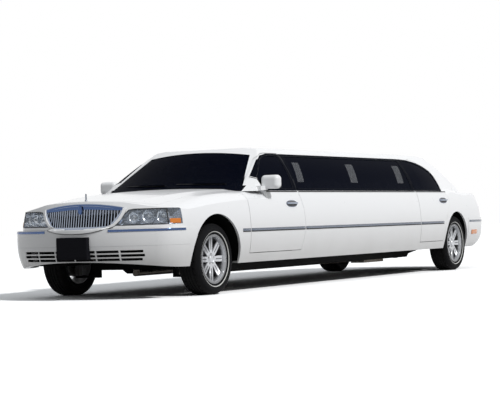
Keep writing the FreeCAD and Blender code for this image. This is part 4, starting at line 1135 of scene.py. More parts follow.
def bumper_path(axle, sign, reach, half, corner, face, end, height, inner=0.0):
    """Points just outside a bumper: from x = inner along its face, round the left corner, back to end."""
    out = 0.05
    edge = half - corner
    steps = 8
    flat = []
    for i in range(steps + 1):
        x = inner + (edge - inner) * i / steps
        sag = face - math.sqrt(face * face - x * x)
        flat.append((x, axle + sign * (reach + out - sag), height))
    centre_y = flat[-1][1] - sign * (corner + out)
    curve = []
    for i in range(1, 15):
        turn = math.pi / 2 * i / 14
        curve.append((edge + (corner + out) * math.sin(turn),
                      centre_y + sign * (corner + out) * math.cos(turn), height))
    start = curve[-1][1]
    stop = axle + sign * end
    side = []
    if abs(stop - start) > 0.02:
        side = [(half + out, start + (stop - start) * i / 6, height) for i in range(1, 7)]
    return flat + curve + side


def bumper_strip(name, path, tall, proud, target, sign, finish, slot):
    """A strip wrapped round a bumper, left half and its mirror."""
    strip = ribbon(name + "_left", path, (0, 0, tall), 3)
    facing(strip, (0.6, sign, 0))
    laid(strip, target, None, -1)
    thick(strip, proud, (0.6, sign, 0), min(proud, tall) * 0.35)
    return done_both(strip, "car_body", finish, slot)


def front_bumper_trim():
    target = form("front_bumper", ("front_bumper",))
    shape = dict(axle=FRONT_AXLE, sign=-1, reach=1.068, half=0.984, corner=0.320, face=1.5)
    bumper_strip("front_bumper_strip", bumper_path(end=0.575, height=0.634, inner=0.372, **shape),
                 0.021, 0.006, target, -1, "blue chrome", "chrome")
    bumper_strip("front_bumper_seam", bumper_path(end=0.520, height=0.500, inner=0.0, **shape),
                 0.003, 0.0015, target, -1, "seam grey", "trim_plastic")


def plate_bracket():
    """Black carrier behind the front plate, with rounded corners."""
    low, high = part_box("front_plate")
    carrier = block("front_plate_carrier", (low.x - 0.004, low.y + 0.003, low.z - 0.023),
                    (high.x + 0.004, high.y + 0.010, high.z + 0.013), 0.006, 4)
    done(carrier, "car_body", "plate", "plate_black")


def rear_bumper_trim():
    target = form("rear_bumper", ("rear_bumper",))
    shape = dict(axle=REAR_AXLE, sign=1, reach=1.418, half=0.984, corner=0.500, face=1.9)
    bumper_strip("rear_bumper_strip", bumper_path(end=0.430, height=0.604, **shape), 0.026, 0.004,
                 target, 1, "strip chrome", "chrome")
    foot = [(OUTSIDE, REAR_AXLE + 0.52, 0.446), (OUTSIDE, REAR_AXLE + 0.76, 0.446)]
    marker = ribbon("rear_side_marker_left", parted(foot, 6, closed=False), (0, 0, 0.056), 3)
    laid(marker, target)
    thick(marker, 0.006, round_edge=0.0022)
    done_both(marker, "car_body", "amber lens", "lamp_lens")


def headlamp_assembly():
    """Clear cover, dark housing, three bowls with bulbs, amber strip, divider and gasket of each lamp."""
    lamp_form = form("headlamps", ("headlamps",))
    choose(lamp_form)
    bpy.ops.object.duplicate()
    shell = bpy.context.object
    shell.name = "headlamp_cover"
    shell.hide_render = False
    outward(shell)

    def is_cover(centre, normal):
        return normal.y < -0.30 or (abs(normal.x) > 0.55 and abs(centre.x) > 0.80 and normal.x * centre.x > 0)

    pick(shell, is_cover)
    bpy.ops.mesh.separate(type="SELECTED")
    parts = [o for o in bpy.context.selected_objects if o != shell]
    bpy.ops.object.mode_set(mode="OBJECT")
    housing, cover = shell, parts[0]
    housing.name, cover.name = "headlamp_housing", "headlamp_cover"
    choose(cover)
    apply(cover, "SOLIDIFY", thickness=0.003, offset=-1.0)
    done(cover, "car_body", "clear lens", "lamp_lens")
    apply(housing, "SOLIDIFY", thickness=0.003, offset=-1.0)
    done(housing, "car_body", "lamp housing", "trim_plastic")
    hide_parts("headlamps")
    profile = [(0.010, 0.050), (0.026, 0.046), (0.044, 0.034), (0.056, 0.016), (0.062, 0.0), (0.066, -0.003),
               (0.067, 0.002), (0.058, 0.020), (0.046, 0.038), (0.027, 0.050), (0.010, 0.054)]
    bulb = [(0.0005, -0.004), (0.008, -0.002), (0.0125, 0.005), (0.0135, 0.016), (0.010, 0.030),
            (0.010, 0.046)]
    bowls = ((0.528, 0.762, 0.86, 0.028), (0.650, 0.770, 0.98, 0.030), (0.768, 0.768, 0.98, 0.036))
    for number, (x, z, share, back) in enumerate(bowls, 1):
        face, _ = surface_point(lamp_form, (x, FRONT_AXLE - 1.6, z), (0, 1, 0))
        centre = face + Vector((0, back + 0.012, 0))
        bowl = turned(f"lamp_bowl_{number}_left", [(r * share, d * share) for r, d in profile],
                      centre, (0, 1, 0), 32)
        done_both(bowl, "car_body", "reflector", "chrome")
        cap = turned(f"lamp_bulb_{number}_left", bulb, centre, (0, 1, 0), 20)
        done_both(cap, "car_body", "white lens", "lamp_lens")
    low = [(OUTSIDE, FRONT_AXLE - 0.706 + 0.088 * i / 8, 0.702) for i in range(9)]
    amber = ribbon("front_indicator_left", low, (0, 0, 0.044), 4)
    laid(amber, lamp_form)
    thick(amber, 0.0025, (0.9, -0.3, 0), 0.0009)
    done_both(amber, "car_body", "amber lens", "lamp_lens")
    edge = parted([(OUTSIDE, FRONT_AXLE - 0.722, 0.700), (OUTSIDE, FRONT_AXLE - 0.716, 0.838)],
                  6, closed=False)
    rib = ribbon("lamp_divider_left", edge, (0, 0.008, 0), 1)
    laid(rib, lamp_form)
    thick(rib, 0.002, (0.9, -0.3, 0), 0.0006)
    done_both(rib, "car_body", "plastic", "trim_plastic")
    slant = ((0.386, 0.696), (0.412, 0.730), (0.440, 0.768), (0.470, 0.808), (0.494, 0.834))
    inner = [ahead_point(x, z, 0.0005) for x, z in slant]
    top = [ahead_point(x, 0.842, 0.0005) for x in (0.54, 0.60, 0.66)]
    top += [round_point(a, 0.842, 0.0005) for a in range(8, 84, 5)]
    foot = [round_point(a, 0.697, 0.0005) for a in range(80, 8, -5)]
    foot += [ahead_point(x, 0.6935, 0.0005) for x in (0.64, 0.56, 0.48, 0.42)]
    gasket = chain("lamp_gasket_left", inner + top + foot, closed=True)
    bpy.ops.object.convert(target="CURVE")
    gasket = bpy.context.object
    gasket.data.bevel_depth = 0.0035
    gasket.data.bevel_resolution = 2
    bpy.ops.object.convert(target="MESH")
    done_both(gasket, "car_body", "rubber", "trim_plastic")


def hood_ornament():
    """Plain upright blade on a round foot."""
    place, _ = surface_point(form("top", TOP_PARTS), (0, FRONT_AXLE - 0.845, 1.6), (0, 0, -1))
    profile = [(0.0005, 0.009), (0.008, 0.008), (0.012, 0.004), (0.0145, 0.0), (0.0145, -0.003)]
    foot = turned("ornament_foot", profile, place, (0, 0, 1), 24)
    done(foot, "hood_panel", "strip chrome", "chrome")
    blade = block("hood_ornament", place + Vector((-0.0035, -0.009, 0.006)),
                  place + Vector((0.0035, 0.009, 0.066)), 0.0024)
    pick(blade, lambda centre, normal: normal.z > 0.7)
    bpy.ops.transform.resize(value=(0.5, 0.45, 1.0))
    bpy.ops.object.mode_set(mode="OBJECT")
    done(blade, "hood_panel", "strip chrome", "chrome")


def wipers():
    """Two wiper arms with rubber blades at the foot of the windshield."""
    target = form("top", TOP_PARTS)

    def on_glass(x, run, lift):
        sag = 1.5 - math.sqrt(1.5 * 1.5 - x * x)
        place, normal = surface_point(target, (x, FRONT_AXLE + run + sag, 1.7), (0, 0, -1))
        return place + normal * lift

    for name, start, stop in (("left", 0.62, 0.10), ("right", -0.02, -0.56)):
        along = [start + (stop - start) * i / 8 for i in range(9)]
        edge = [on_glass(x, 0.610 + 0.02 * i / 8, 0.006) for i, x in enumerate(along)]
        blade = rod(f"wiper_blade_{name}", edge, 0.0045)
        done(blade, "car_body", "rubber", "trim_plastic")
        reach = [on_glass(x, 0.606 + 0.018 * i / 8, 0.017) for i, x in enumerate(along[:6])]
        arm = rod(f"wiper_arm_{name}", reach, 0.0055)
        done(arm, "car_body", "black gloss", "trim_plastic")


# ---------------------------------------------------------------- wheels

def turn_about(obj, angle, centre):
    """Turn a piece about the line through the centre along the axles."""
    turn = Matrix.Rotation(angle, 4, "X")
    obj.matrix_world = Matrix.Translation(centre) @ turn @ Matrix.Translation(-centre)
    return settle(obj)


def about(obj, name, angle, centre):
    """A copy turned about a centre."""
    choose(obj)
    bpy.ops.object.duplicate()
    twin = bpy.context.object
    twin.name = name
    return turn_about(twin, angle, Vector(centre))


def round_the_wheel(obj, count, centre, phase=0.0):
    """The piece repeated round the wheel, as one object."""
    name = obj.name
    ring = [about(obj, f"{name}_{i}", phase + math.tau * i / count, centre) for i in range(count)]
    choose(obj)
    bpy.ops.object.delete()
    whole = joined(*ring)
    whole.name = name
    return whole


def new_tyre(end, side):
    """Tyre with four grooves round the tread and cut shoulders; it stands for the plain one."""
    node = f"tyre_{end}_{side}"
    low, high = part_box(node)
    centre = (low + high) / 2
    half = (high.x - low.x) / 2
    crown = high.z - centre.z
    deep = sizes().tread_depth
    wall = [(0.2290, 0.0850), (0.2400, 0.0975), (0.2480, 0.1045), (0.2560, 0.1075), (0.2660, 0.1125),
            (0.2850, half), (0.3050, half - 0.0015), (0.3220, 0.1110), (0.3340, 0.1010), (0.3400, 0.0890)]
    foot = crown - deep
    tread = [(crown, 0.0790), (crown, 0.0560), (foot, 0.0550), (foot, 0.0480), (crown, 0.0470),
             (crown, 0.0200), (foot, 0.0190), (foot, 0.0120), (crown, 0.0110)]
    near = wall + tread
    profile = near + [(r, -d) for r, d in reversed(near)]
    tyre = turned(f"road_tyre_{end}_{side}", profile, centre, (1, 0, 0), 96)

    def cut_block(face, normal):
        across = math.hypot(face.y - centre.y, face.z - centre.z)
        offset = abs(face.x - centre.x)
        step = int(math.atan2(face.z - centre.z, face.y - centre.y) / math.tau * 96 + 96)
        return across > crown - 0.004 and 0.056 < offset < 0.080 and step % 3 == 0

    pick(tyre, cut_block)
    bpy.ops.mesh.inset(thickness=0.0035, depth=-deep * 0.8, use_individual=True)
    bpy.ops.object.mode_set(mode="OBJECT")
    done(tyre, f"road_wheel_{end}_{side}", f"{end} tyre", "tyre", 30)
    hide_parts(node)


def wheel_details(end, axle_y):
    """The wheel turned by half a spoke, with cap, nuts, spoke grooves and valve, and its mirror."""
    body = f"road_wheel_{end}_left"
    low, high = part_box(f"wheel_{end}_left")
    centre = Vector(((low.x + high.x) / 2, axle_y, HUB_HEIGHT))
    node = form(f"wheel_{end}", (f"wheel_{end}_left",))
    choose(node)
    bpy.ops.object.duplicate()
    rim = bpy.context.object
    rim.name = f"alloy_wheel_{end}_left"
    rim.hide_render = False
    for obj in (node, rim):
        turn_about(obj, math.pi / SPOKES, centre)
    done(rim, body, f"{end} alloy", "alloy")
    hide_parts(f"wheel_{end}_left")
    twin = on_both_sides(rim, body)
    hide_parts(f"wheel_{end}_right")

    def face_at(across, angle):
        at = centre + Vector((0.5, across * math.cos(angle), across * math.sin(angle)))
        return surface_point(node, at, (-1, 0, 0))[0]

    hub = face_at(0.004, 0.3)
    profile = [(0.0005, 0.006), (0.020, 0.0055), (0.030, 0.003), (0.033, -0.001), (0.036, 0.0015),
               (0.039, -0.003)]
    cap = turned(f"wheel_cap_{end}_left", profile, (hub.x, axle_y, HUB_HEIGHT), (1, 0, 0), 40)
    done_both(cap, body, f"{end} alloy", "alloy")
    spot = face_at(0.050, 0.0)
    nut = block(f"wheel_nuts_{end}_left", spot + Vector((-0.004, -0.0075, -0.0075)),
                spot + Vector((0.004, 0.0075, 0.0075)), 0.0022, 2)
    nut = round_the_wheel(nut, sizes().wheel_nuts, centre, math.pi / 2)
    done_both(nut, body, "steel", "alloy")
    turn = spoke_middle(node, centre, high.x - 0.05)
    across_spoke = Vector((0, -math.sin(turn), math.cos(turn)))
    line = [face_at(r, turn) - across_spoke * 0.004 + Vector((0.0004, 0, 0))
            for r in (0.09, 0.12, 0.15, 0.18, 0.20)]
    groove = ribbon(f"spoke_grooves_{end}_left", line, across_spoke * 0.008, 1)
    thick(groove, 0.0008, (1, 0, 0))
    groove = round_the_wheel(groove, SPOKES, centre)
    done_both(groove, body, "groove", "alloy")
    foot = face_at(0.228, turn)
    stem = rod(f"valve_stem_{end}_left", [foot - Vector((0.002, 0, 0)), foot + Vector((0.004, 0, 0)),
                                          foot + Vector((0.009, 0, 0))], 0.0035)
    done_both(stem, body, "rubber", "trim_plastic")


def spoke_middle(wheel, centre, depth):
    """Angle of the middle of a spoke: where lines at four radii all meet the wheel's face."""
    found = []
    for step in range(90):
        turn = math.tau / SPOKES * step / 90
        meets = []
        for r in (0.10, 0.14, 0.18, 0.20):
            start = centre + Vector((0.5, r * math.cos(turn), r * math.sin(turn)))
            hit, place, _, _ = wheel.ray_cast(start, Vector((-1, 0, 0)))
            meets.append(hit and place.x > depth)
        if all(meets):
            found.append(turn)
    gaps = [b - a > 0.02 for a, b in zip(found, found[1:])]
    if any(gaps):
        cut = gaps.index(True) + 1
        found = [turn - math.tau / SPOKES for turn in found[cut:]] + found[:cut]
    return found[len(found) // 2]


def brake_disc(end, axle_y, x):
    """Brake disc with a hat, turning with the wheel."""
    profile = [(0.052, 0.020), (0.078, 0.020), (0.080, 0.006), (0.148, 0.006), (0.150, 0.004),
               (0.150, -0.012), (0.148, -0.014), (0.076, -0.014), (0.074, 0.014), (0.052, 0.014)]
    disc = turned(f"brake_disc_{end}_left", profile + profile[:1], (x, axle_y, HUB_HEIGHT), (1, 0, 0), 64)
    done_both(disc, f"road_wheel_{end}_left", "cast", "cast_metal")


# ---------------------------------------------------------------- doors, mirrors, tail

def mirror_glass():
    """Mirror, its dark rim and the seal round the mirror's triangle."""
    target = form("mirror", ("mirror_left",))
    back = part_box("mirror_left")[1].y + 0.3

    def rounded_outline(shrink):
        return [(0.992 + (0.076 - shrink) * squarer(c, 0.55), back,
                 1.091 + (0.053 - shrink) * squarer(s, 0.6)) for c, s in circle(32)]

    rim = joined(chain("mirror_rim_left", rounded_outline(0.0), closed=True),
                 chain("mirror_rim_inner", rounded_outline(0.006), closed=True))
    edit(rim, "EDGE")
    bpy.ops.mesh.bridge_edge_loops()
    laid(rim, target, "Y", -1)
    thick(rim, 0.003, (0, 1, 0), 0.001)
    done_both(rim, "front_door_left", "plastic", "trim_plastic")
    glass = chain("mirror_glass_left", rounded_outline(0.007), face=True)
    edit(glass)
    bpy.ops.mesh.inset(thickness=0.006)
    bpy.ops.mesh.poke()
    laid(glass, target, "Y", -1)
    thick(glass, 0.0015, (0, 1, 0))
    done_both(glass, "front_door_left", "mirror", "chrome")
    edge = [(0.936, 1.150), (0.962, 1.110), (0.984, 1.060), (1.000, 1.012)]
    line = parted(side_points(edge), 3, closed=False)
    seal = ribbon("mirror_triangle_seal_left", line, (0, 0.012, 0), 1)
    laid(seal, side_form())
    thick(seal, 0.003, round_edge=0.001)
    done_both(seal, "front_door_left", "rubber", "trim_plastic")


def tail_trim():
    """Bright strips on the tail lamps, reversing strips, and bars across the lid and over the plate."""
    target = form("rear", REAR_PARTS)
    out = REAR_AXLE + 1.8

    def rear_strip(name, x0, x1, z0, z1, proud, finish, slot, body, both=True):
        line = parted([(x0, out, z0), (x1, out, z0)], 10, closed=False)
        strip = ribbon(name, line, (0, 0, z1 - z0), 3)
        laid(strip, target, "Y", -1)
        thick(strip, proud, (0, 1, 0), min(proud, z1 - z0) * 0.35)
        return (done_both if both else done)(strip, body, finish, slot)

    rear_strip("tail_lamp_strip_left", 0.660, 0.862, 0.792, 0.800, 0.004, "chrome", "chrome", "car_body")
    rear_strip("reversing_lens_left", 0.664, 0.780, 0.728, 0.760, 0.003,
               "white lens", "lamp_lens", "car_body")
    rear_strip("lid_bright_bar", -0.560, 0.560, 0.712, 0.728, 0.006, "chrome", "chrome", "trunk_panel", False)
    rear_strip("plate_lamp_bar", -0.200, 0.200, 0.908, 0.928, 0.012, "chrome", "chrome", "trunk_panel", False)


def fuel_door():
    """Round-cornered fuel door outline over the right rear wheel."""
    points = [(0.640 + 0.085 * squarer(c, 0.5), 0.846 + 0.075 * squarer(s, 0.5)) for c, s in circle(24)]
    small = [(0.640 + (y - 0.640) * 0.965, 0.846 + (z - 0.846) * 0.96) for y, z in points]
    ring = joined(chain("fuel_door_seam", side_points(points, REAR_AXLE), closed=True),
                  chain("fuel_door_seam_inner", side_points(small, REAR_AXLE), closed=True))
    edit(ring, "EDGE")
    bpy.ops.mesh.bridge_edge_loops()
    laid(ring, side_form())
    thick(ring, 0.0005)
    done_both(ring, "car_body", "seam grey", "trim_plastic")
    choose(ring)
    bpy.ops.object.delete()


# ---------------------------------------------------------------- cabin

def cushion(name, low, high, puff=0.012, lean=0.0):
    """A stuffed leather block: a fine box blown up a little, capped, then smoothed."""
    low, high = Vector(low), Vector(high)
    fresh()
    bpy.ops.mesh.primitive_cube_add(size=1, location=(low + high) / 2, scale=high - low)
    obj = bpy.context.object
    obj.name = name
    settle(obj)
    edit(obj)
    bpy.ops.mesh.subdivide(number_cuts=9)
    bpy.ops.object.mode_set(mode="OBJECT")
    rest = [v.co.copy() for v in obj.data.vertices]
    swell(obj)
    for vertex, start in zip(obj.data.vertices, rest):
        move = vertex.co - start
        if move.length > puff:
            vertex.co = start + move.normalized() * puff
    apply(obj, "SUBSURF", levels=1, render_levels=1)
    if lean:
        hinge = Vector(((low.x + high.x) / 2, low.y, low.z))
        turn_about(obj, -lean, hinge)
    done(obj, "car_body", "leather", "leather", 60)
    return obj


def swell(obj):
    """Blow the mesh up as cloth under pressure for a few frames."""
    choose(obj)
    modifier = obj.modifiers.new("Stuffing", "CLOTH")
    cloth = modifier.settings
    cloth.quality = 5
    cloth.mass = 0.3
    cloth.use_pressure = True
    cloth.uniform_pressure_force = 4.0
    cloth.effector_weights.gravity = 0.0
    modifier.point_cache.frame_start = 1
    modifier.point_cache.frame_end = 14
    scene = bpy.context.scene
    for step in range(1, 13):
        scene.frame_set(step)
    bpy.ops.object.modifier_apply(modifier=modifier.name)
    scene.frame_set(1)


def welt(name, corners, radius=0.004):
    """Piping round a cushion."""
    cord = chain(name, parted(corners, 3), closed=True)
    bpy.ops.object.convert(target="CURVE")
    cord = bpy.context.object
    cord.data.bevel_depth = radius
    cord.data.bevel_resolution = 2
    bpy.ops.object.convert(target="MESH")
    done(cord, "car_body", "welt", "leather")
    return cord


def box_ring(low, high, z):
    return [(low[0], low[1], z), (high[0], low[1], z), (high[0], high[1], z), (low[0], high[1], z)]


def seat_copy(obj, name, move):
    twin = copied(obj, name, move=move)
    return twin


def front_seating():
    """Driver's and passenger's seats: cushion, back, head pad and a trimmed base."""
    y0, y1 = FRONT_AXLE + 1.270, FRONT_AXLE + 1.800
    pieces = [
        cushion("front_seat_cushion_left", (0.130, y0 + 0.012, 0.492), (0.640, y1 - 0.100, 0.606)),
        cushion("front_seat_back_left", (0.132, y1 - 0.095, 0.575), (0.638, y1 - 0.005, 1.000), lean=0.19),
        cushion("front_head_pad_left", (0.270, y1 + 0.000, 1.012), (0.500, y1 + 0.075, 1.132), 0.008),
    ]
    for piece in pieces:
        seat_copy(piece, piece.name.replace("_left", "_right"), (-0.770, 0, 0))
    base = block("front_seat_base_left", (0.155, y0 + 0.060, 0.327), (0.615, y1 - 0.060, 0.484), 0.012)
    done(base, "car_body", "plastic", "trim_plastic")
    copied(base, "front_seat_base_right", move=(-0.770, 0, 0))
    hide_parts("front_seats")
    for side, shift in (("left", 0.0), ("right", -0.770)):
        ring = box_ring((0.140 + shift, y0 + 0.020), (0.630 + shift, y1 - 0.110), 0.6035)
        welt(f"front_seat_welt_{side}", ring)


def rear_seating():
    """Rear bench of three places and the long bench along the left side."""
    y0, y1 = REAR_AXLE - 1.090, REAR_AXLE - 0.590
    width = 1.270 / 3
    edge = -0.635
    seat = cushion("rear_seat_cushion_1", (edge, y0 + 0.012, 0.512),
                   (edge + width - 0.006, y1 - 0.100, 0.626))
    back = cushion("rear_seat_back_1", (edge, y1 - 0.098, 0.590),
                   (edge + width - 0.006, y1 - 0.010, 1.105), lean=0.285)
    for number in (2, 3):
        seat_copy(seat, f"rear_seat_cushion_{number}", (width * (number - 1), 0, 0))
        seat_copy(back, f"rear_seat_back_{number}", (width * (number - 1), 0, 0))
    base = block("rear_seat_base", (-0.600, y0 + 0.060, 0.400), (0.600, y1 - 0.060, 0.505), 0.012)
    done(base, "car_body", "plastic", "trim_plastic")
    start, end = FRONT_AXLE + 2.380, REAR_AXLE - 1.350
    places = 4
    share = (end - start) / places
    pad = cushion("bench_cushion_1", (0.345, start + 0.006, 0.412), (0.690, start + share - 0.006, 0.494))
    rest = cushion("bench_back_1", (0.712, start + 0.006, 0.510), (0.790, start + share - 0.006, 0.948))
    for number in range(2, places + 1):
        seat_copy(pad, f"bench_cushion_{number}", (0, share * (number - 1), 0))
        seat_copy(rest, f"bench_back_{number}", (0, share * (number - 1), 0))
    plinth = block("bench_base", (0.345, start, 0.327), (0.790, end, 0.402), 0.010)
    done(plinth, "car_body", "welt", "leather")
    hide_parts("rear_seats")
    welt("bench_welt", box_ring((0.350, start + 0.012), (0.688, end - 0.012), 0.408), 0.005)


def dashboard_details():
    """Instrument hood, centre panel, vent and glove box lid on the dashboard."""
    y = FRONT_AXLE + 0.860
    pieces = [
        ("instrument_hood", (0.20, y + 0.02, 0.930), (0.57, y + 0.150, 0.975), "plastic", 0.014),
        ("centre_panel", (-0.13, FRONT_AXLE + 1.012, 0.700), (0.13, FRONT_AXLE + 1.036, 0.900),
         "wood", 0.006),
        ("glove_box_lid", (-0.62, FRONT_AXLE + 1.008, 0.690), (-0.22, FRONT_AXLE + 1.026, 0.830),
         "plastic", 0.008),
        ("centre_vent", (-0.11, FRONT_AXLE + 1.028, 0.850), (0.11, FRONT_AXLE + 1.040, 0.890),
         "grey plastic", 0.004),
    ]
    for name, low, high, finish, radius in pieces:
        piece = block(name, low, high, radius)
        pick(piece, lambda centre, normal: normal.y > 0.9)
        bpy.ops.mesh.inset(thickness=radius)
        bpy.ops.mesh.inset(thickness=0.003, depth=-0.003)
        bpy.ops.object.mode_set(mode="OBJECT")
        done(piece, "car_body", finish, "trim_plastic")


def engine_details():
    """Intake cover and rocker covers on the plain engine."""
    low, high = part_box("engine_block")
    top = high.z
    y = low.y
    for name, a, b, finish in (
        ("rocker_cover_left", (0.090, y + 0.10, top - 0.030), (0.215, y + 0.62, top + 0.012), "steel"),
        ("rocker_cover_right", (-0.215, y + 0.10, top - 0.030), (-0.090, y + 0.62, top + 0.012), "steel"),
        ("intake_cover", (-0.080, y + 0.14, top - 0.020), (0.080, y + 0.60, top + 0.026), "plastic"),
    ):
        cover = block(name, a, b, 0.012)
        pick(cover, lambda centre, normal: normal.z > 0.9)
        bpy.ops.mesh.inset(thickness=0.014)
        bpy.ops.mesh.inset(thickness=0.004, depth=0.004)
        bpy.ops.object.mode_set(mode="OBJECT")
        done(cover, "car_body", finish, "cast_metal")


# ---------------------------------------------------------------- stage

CAMERA_PLACE = (9.1246, -14.021, 0.7087)     # its y from the front axle
CAMERA_YAW = 29.1467
CAMERA_PITCH = 0.6805
CAMERA_ROLL = -1.6365
CAMERA_LENS = 121.3


def set_camera():
    yaw, pitch, roll = (math.radians(a) for a in (CAMERA_YAW, CAMERA_PITCH, CAMERA_ROLL))
    ahead = Vector((-math.sin(yaw) * math.cos(pitch), math.cos(yaw) * math.cos(pitch), math.sin(pitch)))
    right = Vector((math.cos(yaw), math.sin(yaw), 0))
    up = right.cross(ahead)
    right, up = (math.cos(roll) * right + math.sin(roll) * up, -math.sin(roll) * right + math.cos(roll) * up)
    fresh()
    bpy.ops.object.camera_add()
    camera = bpy.context.object
    camera.name = "studio_camera"
    turn = Matrix((right, up, -ahead)).transposed().to_4x4()
    place = Vector(CAMERA_PLACE) + Vector((0, FRONT_AXLE, 0))
    camera.matrix_world = Matrix.Translation(place) @ turn
    camera.data.sensor_width = 36
    camera.data.lens = CAMERA_LENS
    camera.data.clip_end = 200
    bpy.context.scene.camera = camera


def set_floor():
    """White floor that keeps the car's shadow."""
    fresh()
    bpy.ops.mesh.primitive_grid_add(x_subdivisions=4, y_subdivisions=4, size=160, location=(0, 0, 0))
    floor = bpy.context.object
    floor.name = "studio_floor"
    material = bpy.data.materials.new("pale_floor")
    material.use_nodes = True
    n = Nodes(material.node_tree)
    place = n.node("ShaderNodeTexCoord").outputs["Object"]
    grain = Value(n, n.node("ShaderNodeTexNoise", None, {"Vector": place, "Scale": 0.6}).outputs[0])
    tones = {0: grain, 6: (1.24, 1.24, 1.24, 1), 7: (1.25, 1.25, 1.25, 1)}
    pale = n.node("ShaderNodeMix", {"data_type": "RGBA"}, tones)
    seen_tone = n.node("ShaderNodeBsdfDiffuse", None, {"Color": pale.outputs[2]})
    bounced_tone = n.node("ShaderNodeBsdfDiffuse", None, {"Color": (0.42, 0.42, 0.42, 1)})
    seen = n.light_path("Is Camera Ray", "Is Glossy Ray", "Is Transmission Ray")
    both = n.node("ShaderNodeMixShader", None, {0: seen, 1: bounced_tone.outputs[0], 2: seen_tone.outputs[0]})
    n.node("ShaderNodeOutputMaterial", None, {"Surface": both.outputs[0]})
    floor.data.materials.append(material)


def set_world():
    world = bpy.data.worlds.new("studio_air")
    world.use_nodes = True
    bpy.context.scene.world = world
    n = Nodes(world.node_tree)
    seen = n.light_path("Is Camera Ray", "Is Glossy Ray", "Is Transmission Ray")
    toward = n.node("ShaderNodeTexCoord").outputs["Generated"]
    height = Value(n, n.node("ShaderNodeSeparateXYZ", None, {0: toward}).outputs[2])
    strength = 0.07 + 0.45 * height.rise(0.0, 0.9)
    fill = n.node("ShaderNodeBackground", None, {"Color": (0.93, 0.965, 1.0, 1), "Strength": strength})
    white = n.node("ShaderNodeBackground", None, {"Color": (1, 1, 1, 1), "Strength": 1.0})
    both = n.node("ShaderNodeMixShader", None, {0: seen, 1: fill.outputs[0], 2: white.outputs[0]})
    n.node("ShaderNodeOutputWorld", None, {"Surface": both.outputs[0]})


def set_sun(name, aim, strength, spread):
    """A soft sun that shines along the aim."""
    fresh()
    bpy.ops.object.light_add(type="SUN", location=(0, 0, 8))
    sun = bpy.context.object
    sun.name = name
    sun.data.energy = strength
    sun.data.angle = math.radians(spread)
    sun.rotation_euler = Vector(aim).to_track_quat("-Z", "Y").to_euler()


class LIMO_OT_stage(bpy.types.Operator):
    """Add the camera, the floor and the soft lights"""

    bl_idname = "limo.stage"
    bl_label = "Stage"

    def execute(self, context):
        context.scene.view_settings.view_transform = "Standard"
        set_camera()
        set_floor()
        set_world()
        set_sun("key_light", (-1.10, 0.16, -1.0), 2.5, 7)
        return {"FINISHED"}


class LIMO_OT_finishes(bpy.types.Operator):
    """Make the finishes and give each node of the frame its own"""

    bl_idname = "limo.finishes"
    bl_label = "Finishes"

    def execute(self, context):
        make_finishes()
        dress_nodes()
        take_forms()
        return {"FINISHED"}


class LIMO_OT_window_trim(bpy.types.Operator):
    """Add the black surrounds, belt seals and stripes of the side windows"""

    bl_idname = "limo.window_trim"
    bl_label = "Window trim"

    def execute(self, context):
        window_surround("front_window_surround", FRONT_SURROUND, FRONT_OPENING, FRONT_AXLE, "front_door_left")
        window_surround("long_window_surround", MID_SURROUND, MID_OPENING, FRONT_AXLE, "car_body")
        window_surround("rear_window_surround", REAR_SURROUND, REAR_OPENING, REAR_AXLE, "rear_door_left")
        belt_seals()
        privacy_stripes()
        return {"FINISHED"}


class LIMO_OT_side_trim(bpy.types.Operator):
    """Add the side mouldings and the door handles"""

    bl_idname = "limo.side_trim"
    bl_label = "Side trim"

    def execute(self, context):
        side_mouldings()
        door_handle("front_door_handle", 1.392, 0.867, "front_door_left")
        door_handle("rear_door_handle", 5.470, 0.885, "rear_door_left")
        return {"FINISHED"}


class LIMO_OT_front_trim(bpy.types.Operator):
    """Add the grille header and lip, bumper strip, plate carrier, ornament and wipers"""

    bl_idname = "limo.front_trim"
    bl_label = "Front trim"

    def execute(self, context):
        grille_header()
        grille_lip()
        front_bumper_trim()
        plate_bracket()
        hood_ornament()
        wipers()
        return {"FINISHED"}


class LIMO_OT_headlamps(bpy.types.Operator):
    """Build the headlamps with covers, bowls, bulbs and indicators"""

    bl_idname = "limo.headlamps"
    bl_label = "Headlamps"

    def execute(self, context):
        headlamp_assembly()
        return {"FINISHED"}


class LIMO_OT_wheels(bpy.types.Operator):
    """Add tyres with tread, caps, nuts, spoke grooves, valves and brake discs"""

    bl_idname = "limo.wheels"
    bl_label = "Wheels"

    def execute(self, context):
        for end, axle_y in (("front", FRONT_AXLE), ("rear", REAR_AXLE)):
            wheel_details(end, axle_y)
            for side, _ in SIDES:
                new_tyre(end, side)
        brake_disc("front", FRONT_AXLE, 0.765)
        brake_disc("rear", REAR_AXLE, 0.780)
        return {"FINISHED"}


class LIMO_OT_mirrors(bpy.types.Operator):
    """Add the mirror glass, rims and seals"""

    bl_idname = "limo.mirrors"
    bl_label = "Mirrors"

    def execute(self, context):
        mirror_glass()
        return {"FINISHED"}


class LIMO_OT_tail_trim(bpy.types.Operator):
    """Add the tail strips, rear bumper strip, markers and fuel door"""

    bl_idname = "limo.tail_trim"
    bl_label = "Tail trim"

    def execute(self, context):
        rear_bumper_trim()
        tail_trim()
        fuel_door()
        return {"FINISHED"}


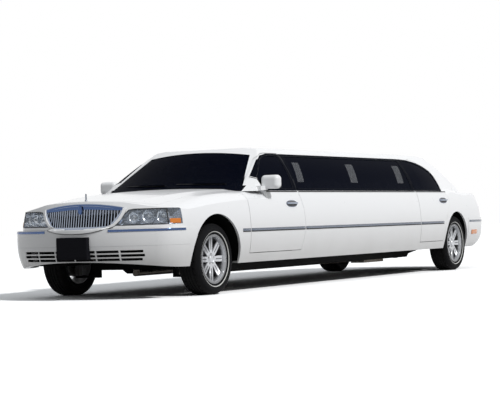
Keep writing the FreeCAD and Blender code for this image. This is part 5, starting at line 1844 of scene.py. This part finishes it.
class LIMO_OT_seats(bpy.types.Operator):
    """Add the stuffed seats of the front and rear cabin"""

    bl_idname = "limo.seats"
    bl_label = "Seats"

    def execute(self, context):
        front_seating()
        rear_seating()
        return {"FINISHED"}


class LIMO_OT_cabin_details(bpy.types.Operator):
    """Add the details of the dashboard"""

    bl_idname = "limo.cabin_details"
    bl_label = "Cabin details"

    def execute(self, context):
        dashboard_details()
        return {"FINISHED"}


class LIMO_OT_engine(bpy.types.Operator):
    """Add the covers on the engine"""

    bl_idname = "limo.engine"
    bl_label = "Engine details"

    def execute(self, context):
        engine_details()
        return {"FINISHED"}


OPERATORS = (
    LIMO_OT_stage,
    LIMO_OT_finishes,
    LIMO_OT_window_trim,
    LIMO_OT_side_trim,
    LIMO_OT_front_trim,
    LIMO_OT_headlamps,
    LIMO_OT_wheels,
    LIMO_OT_mirrors,
    LIMO_OT_tail_trim,
    LIMO_OT_seats,
    LIMO_OT_cabin_details,
    LIMO_OT_engine,
)


class LIMO_PT_panel(bpy.types.Panel):
    """Lists the operators that dress the car"""

    bl_idname = "LIMO_PT_panel"
    bl_label = "Stretch Limousine"
    bl_space_type = "VIEW_3D"
    bl_region_type = "UI"
    bl_category = "Limousine"

    def draw(self, context):
        for operator in OPERATORS:
            self.layout.operator(operator.bl_idname)
        for group in (context.scene.limousine_sizes, context.scene.limousine_colours):
            for name in group.__annotations__:
                self.layout.prop(group, name)


CLASSES = (LimousineSizes, LimousineColours) + OPERATORS + (LIMO_PT_panel,)


def register():
    for cls in CLASSES:
        bpy.utils.register_class(cls)
    bpy.types.Scene.limousine_sizes = PointerProperty(type=LimousineSizes)
    bpy.types.Scene.limousine_colours = PointerProperty(type=LimousineColours)


def unregister():
    del bpy.types.Scene.limousine_colours
    del bpy.types.Scene.limousine_sizes
    for cls in reversed(CLASSES):
        bpy.utils.unregister_class(cls)


def main():
    register()
    for operator in OPERATORS:
        group, name = operator.bl_idname.split(".")
        getattr(getattr(bpy.ops, group), name)()
    throw_forms_away()
    fresh()


if __name__ == "__main__":
    main()
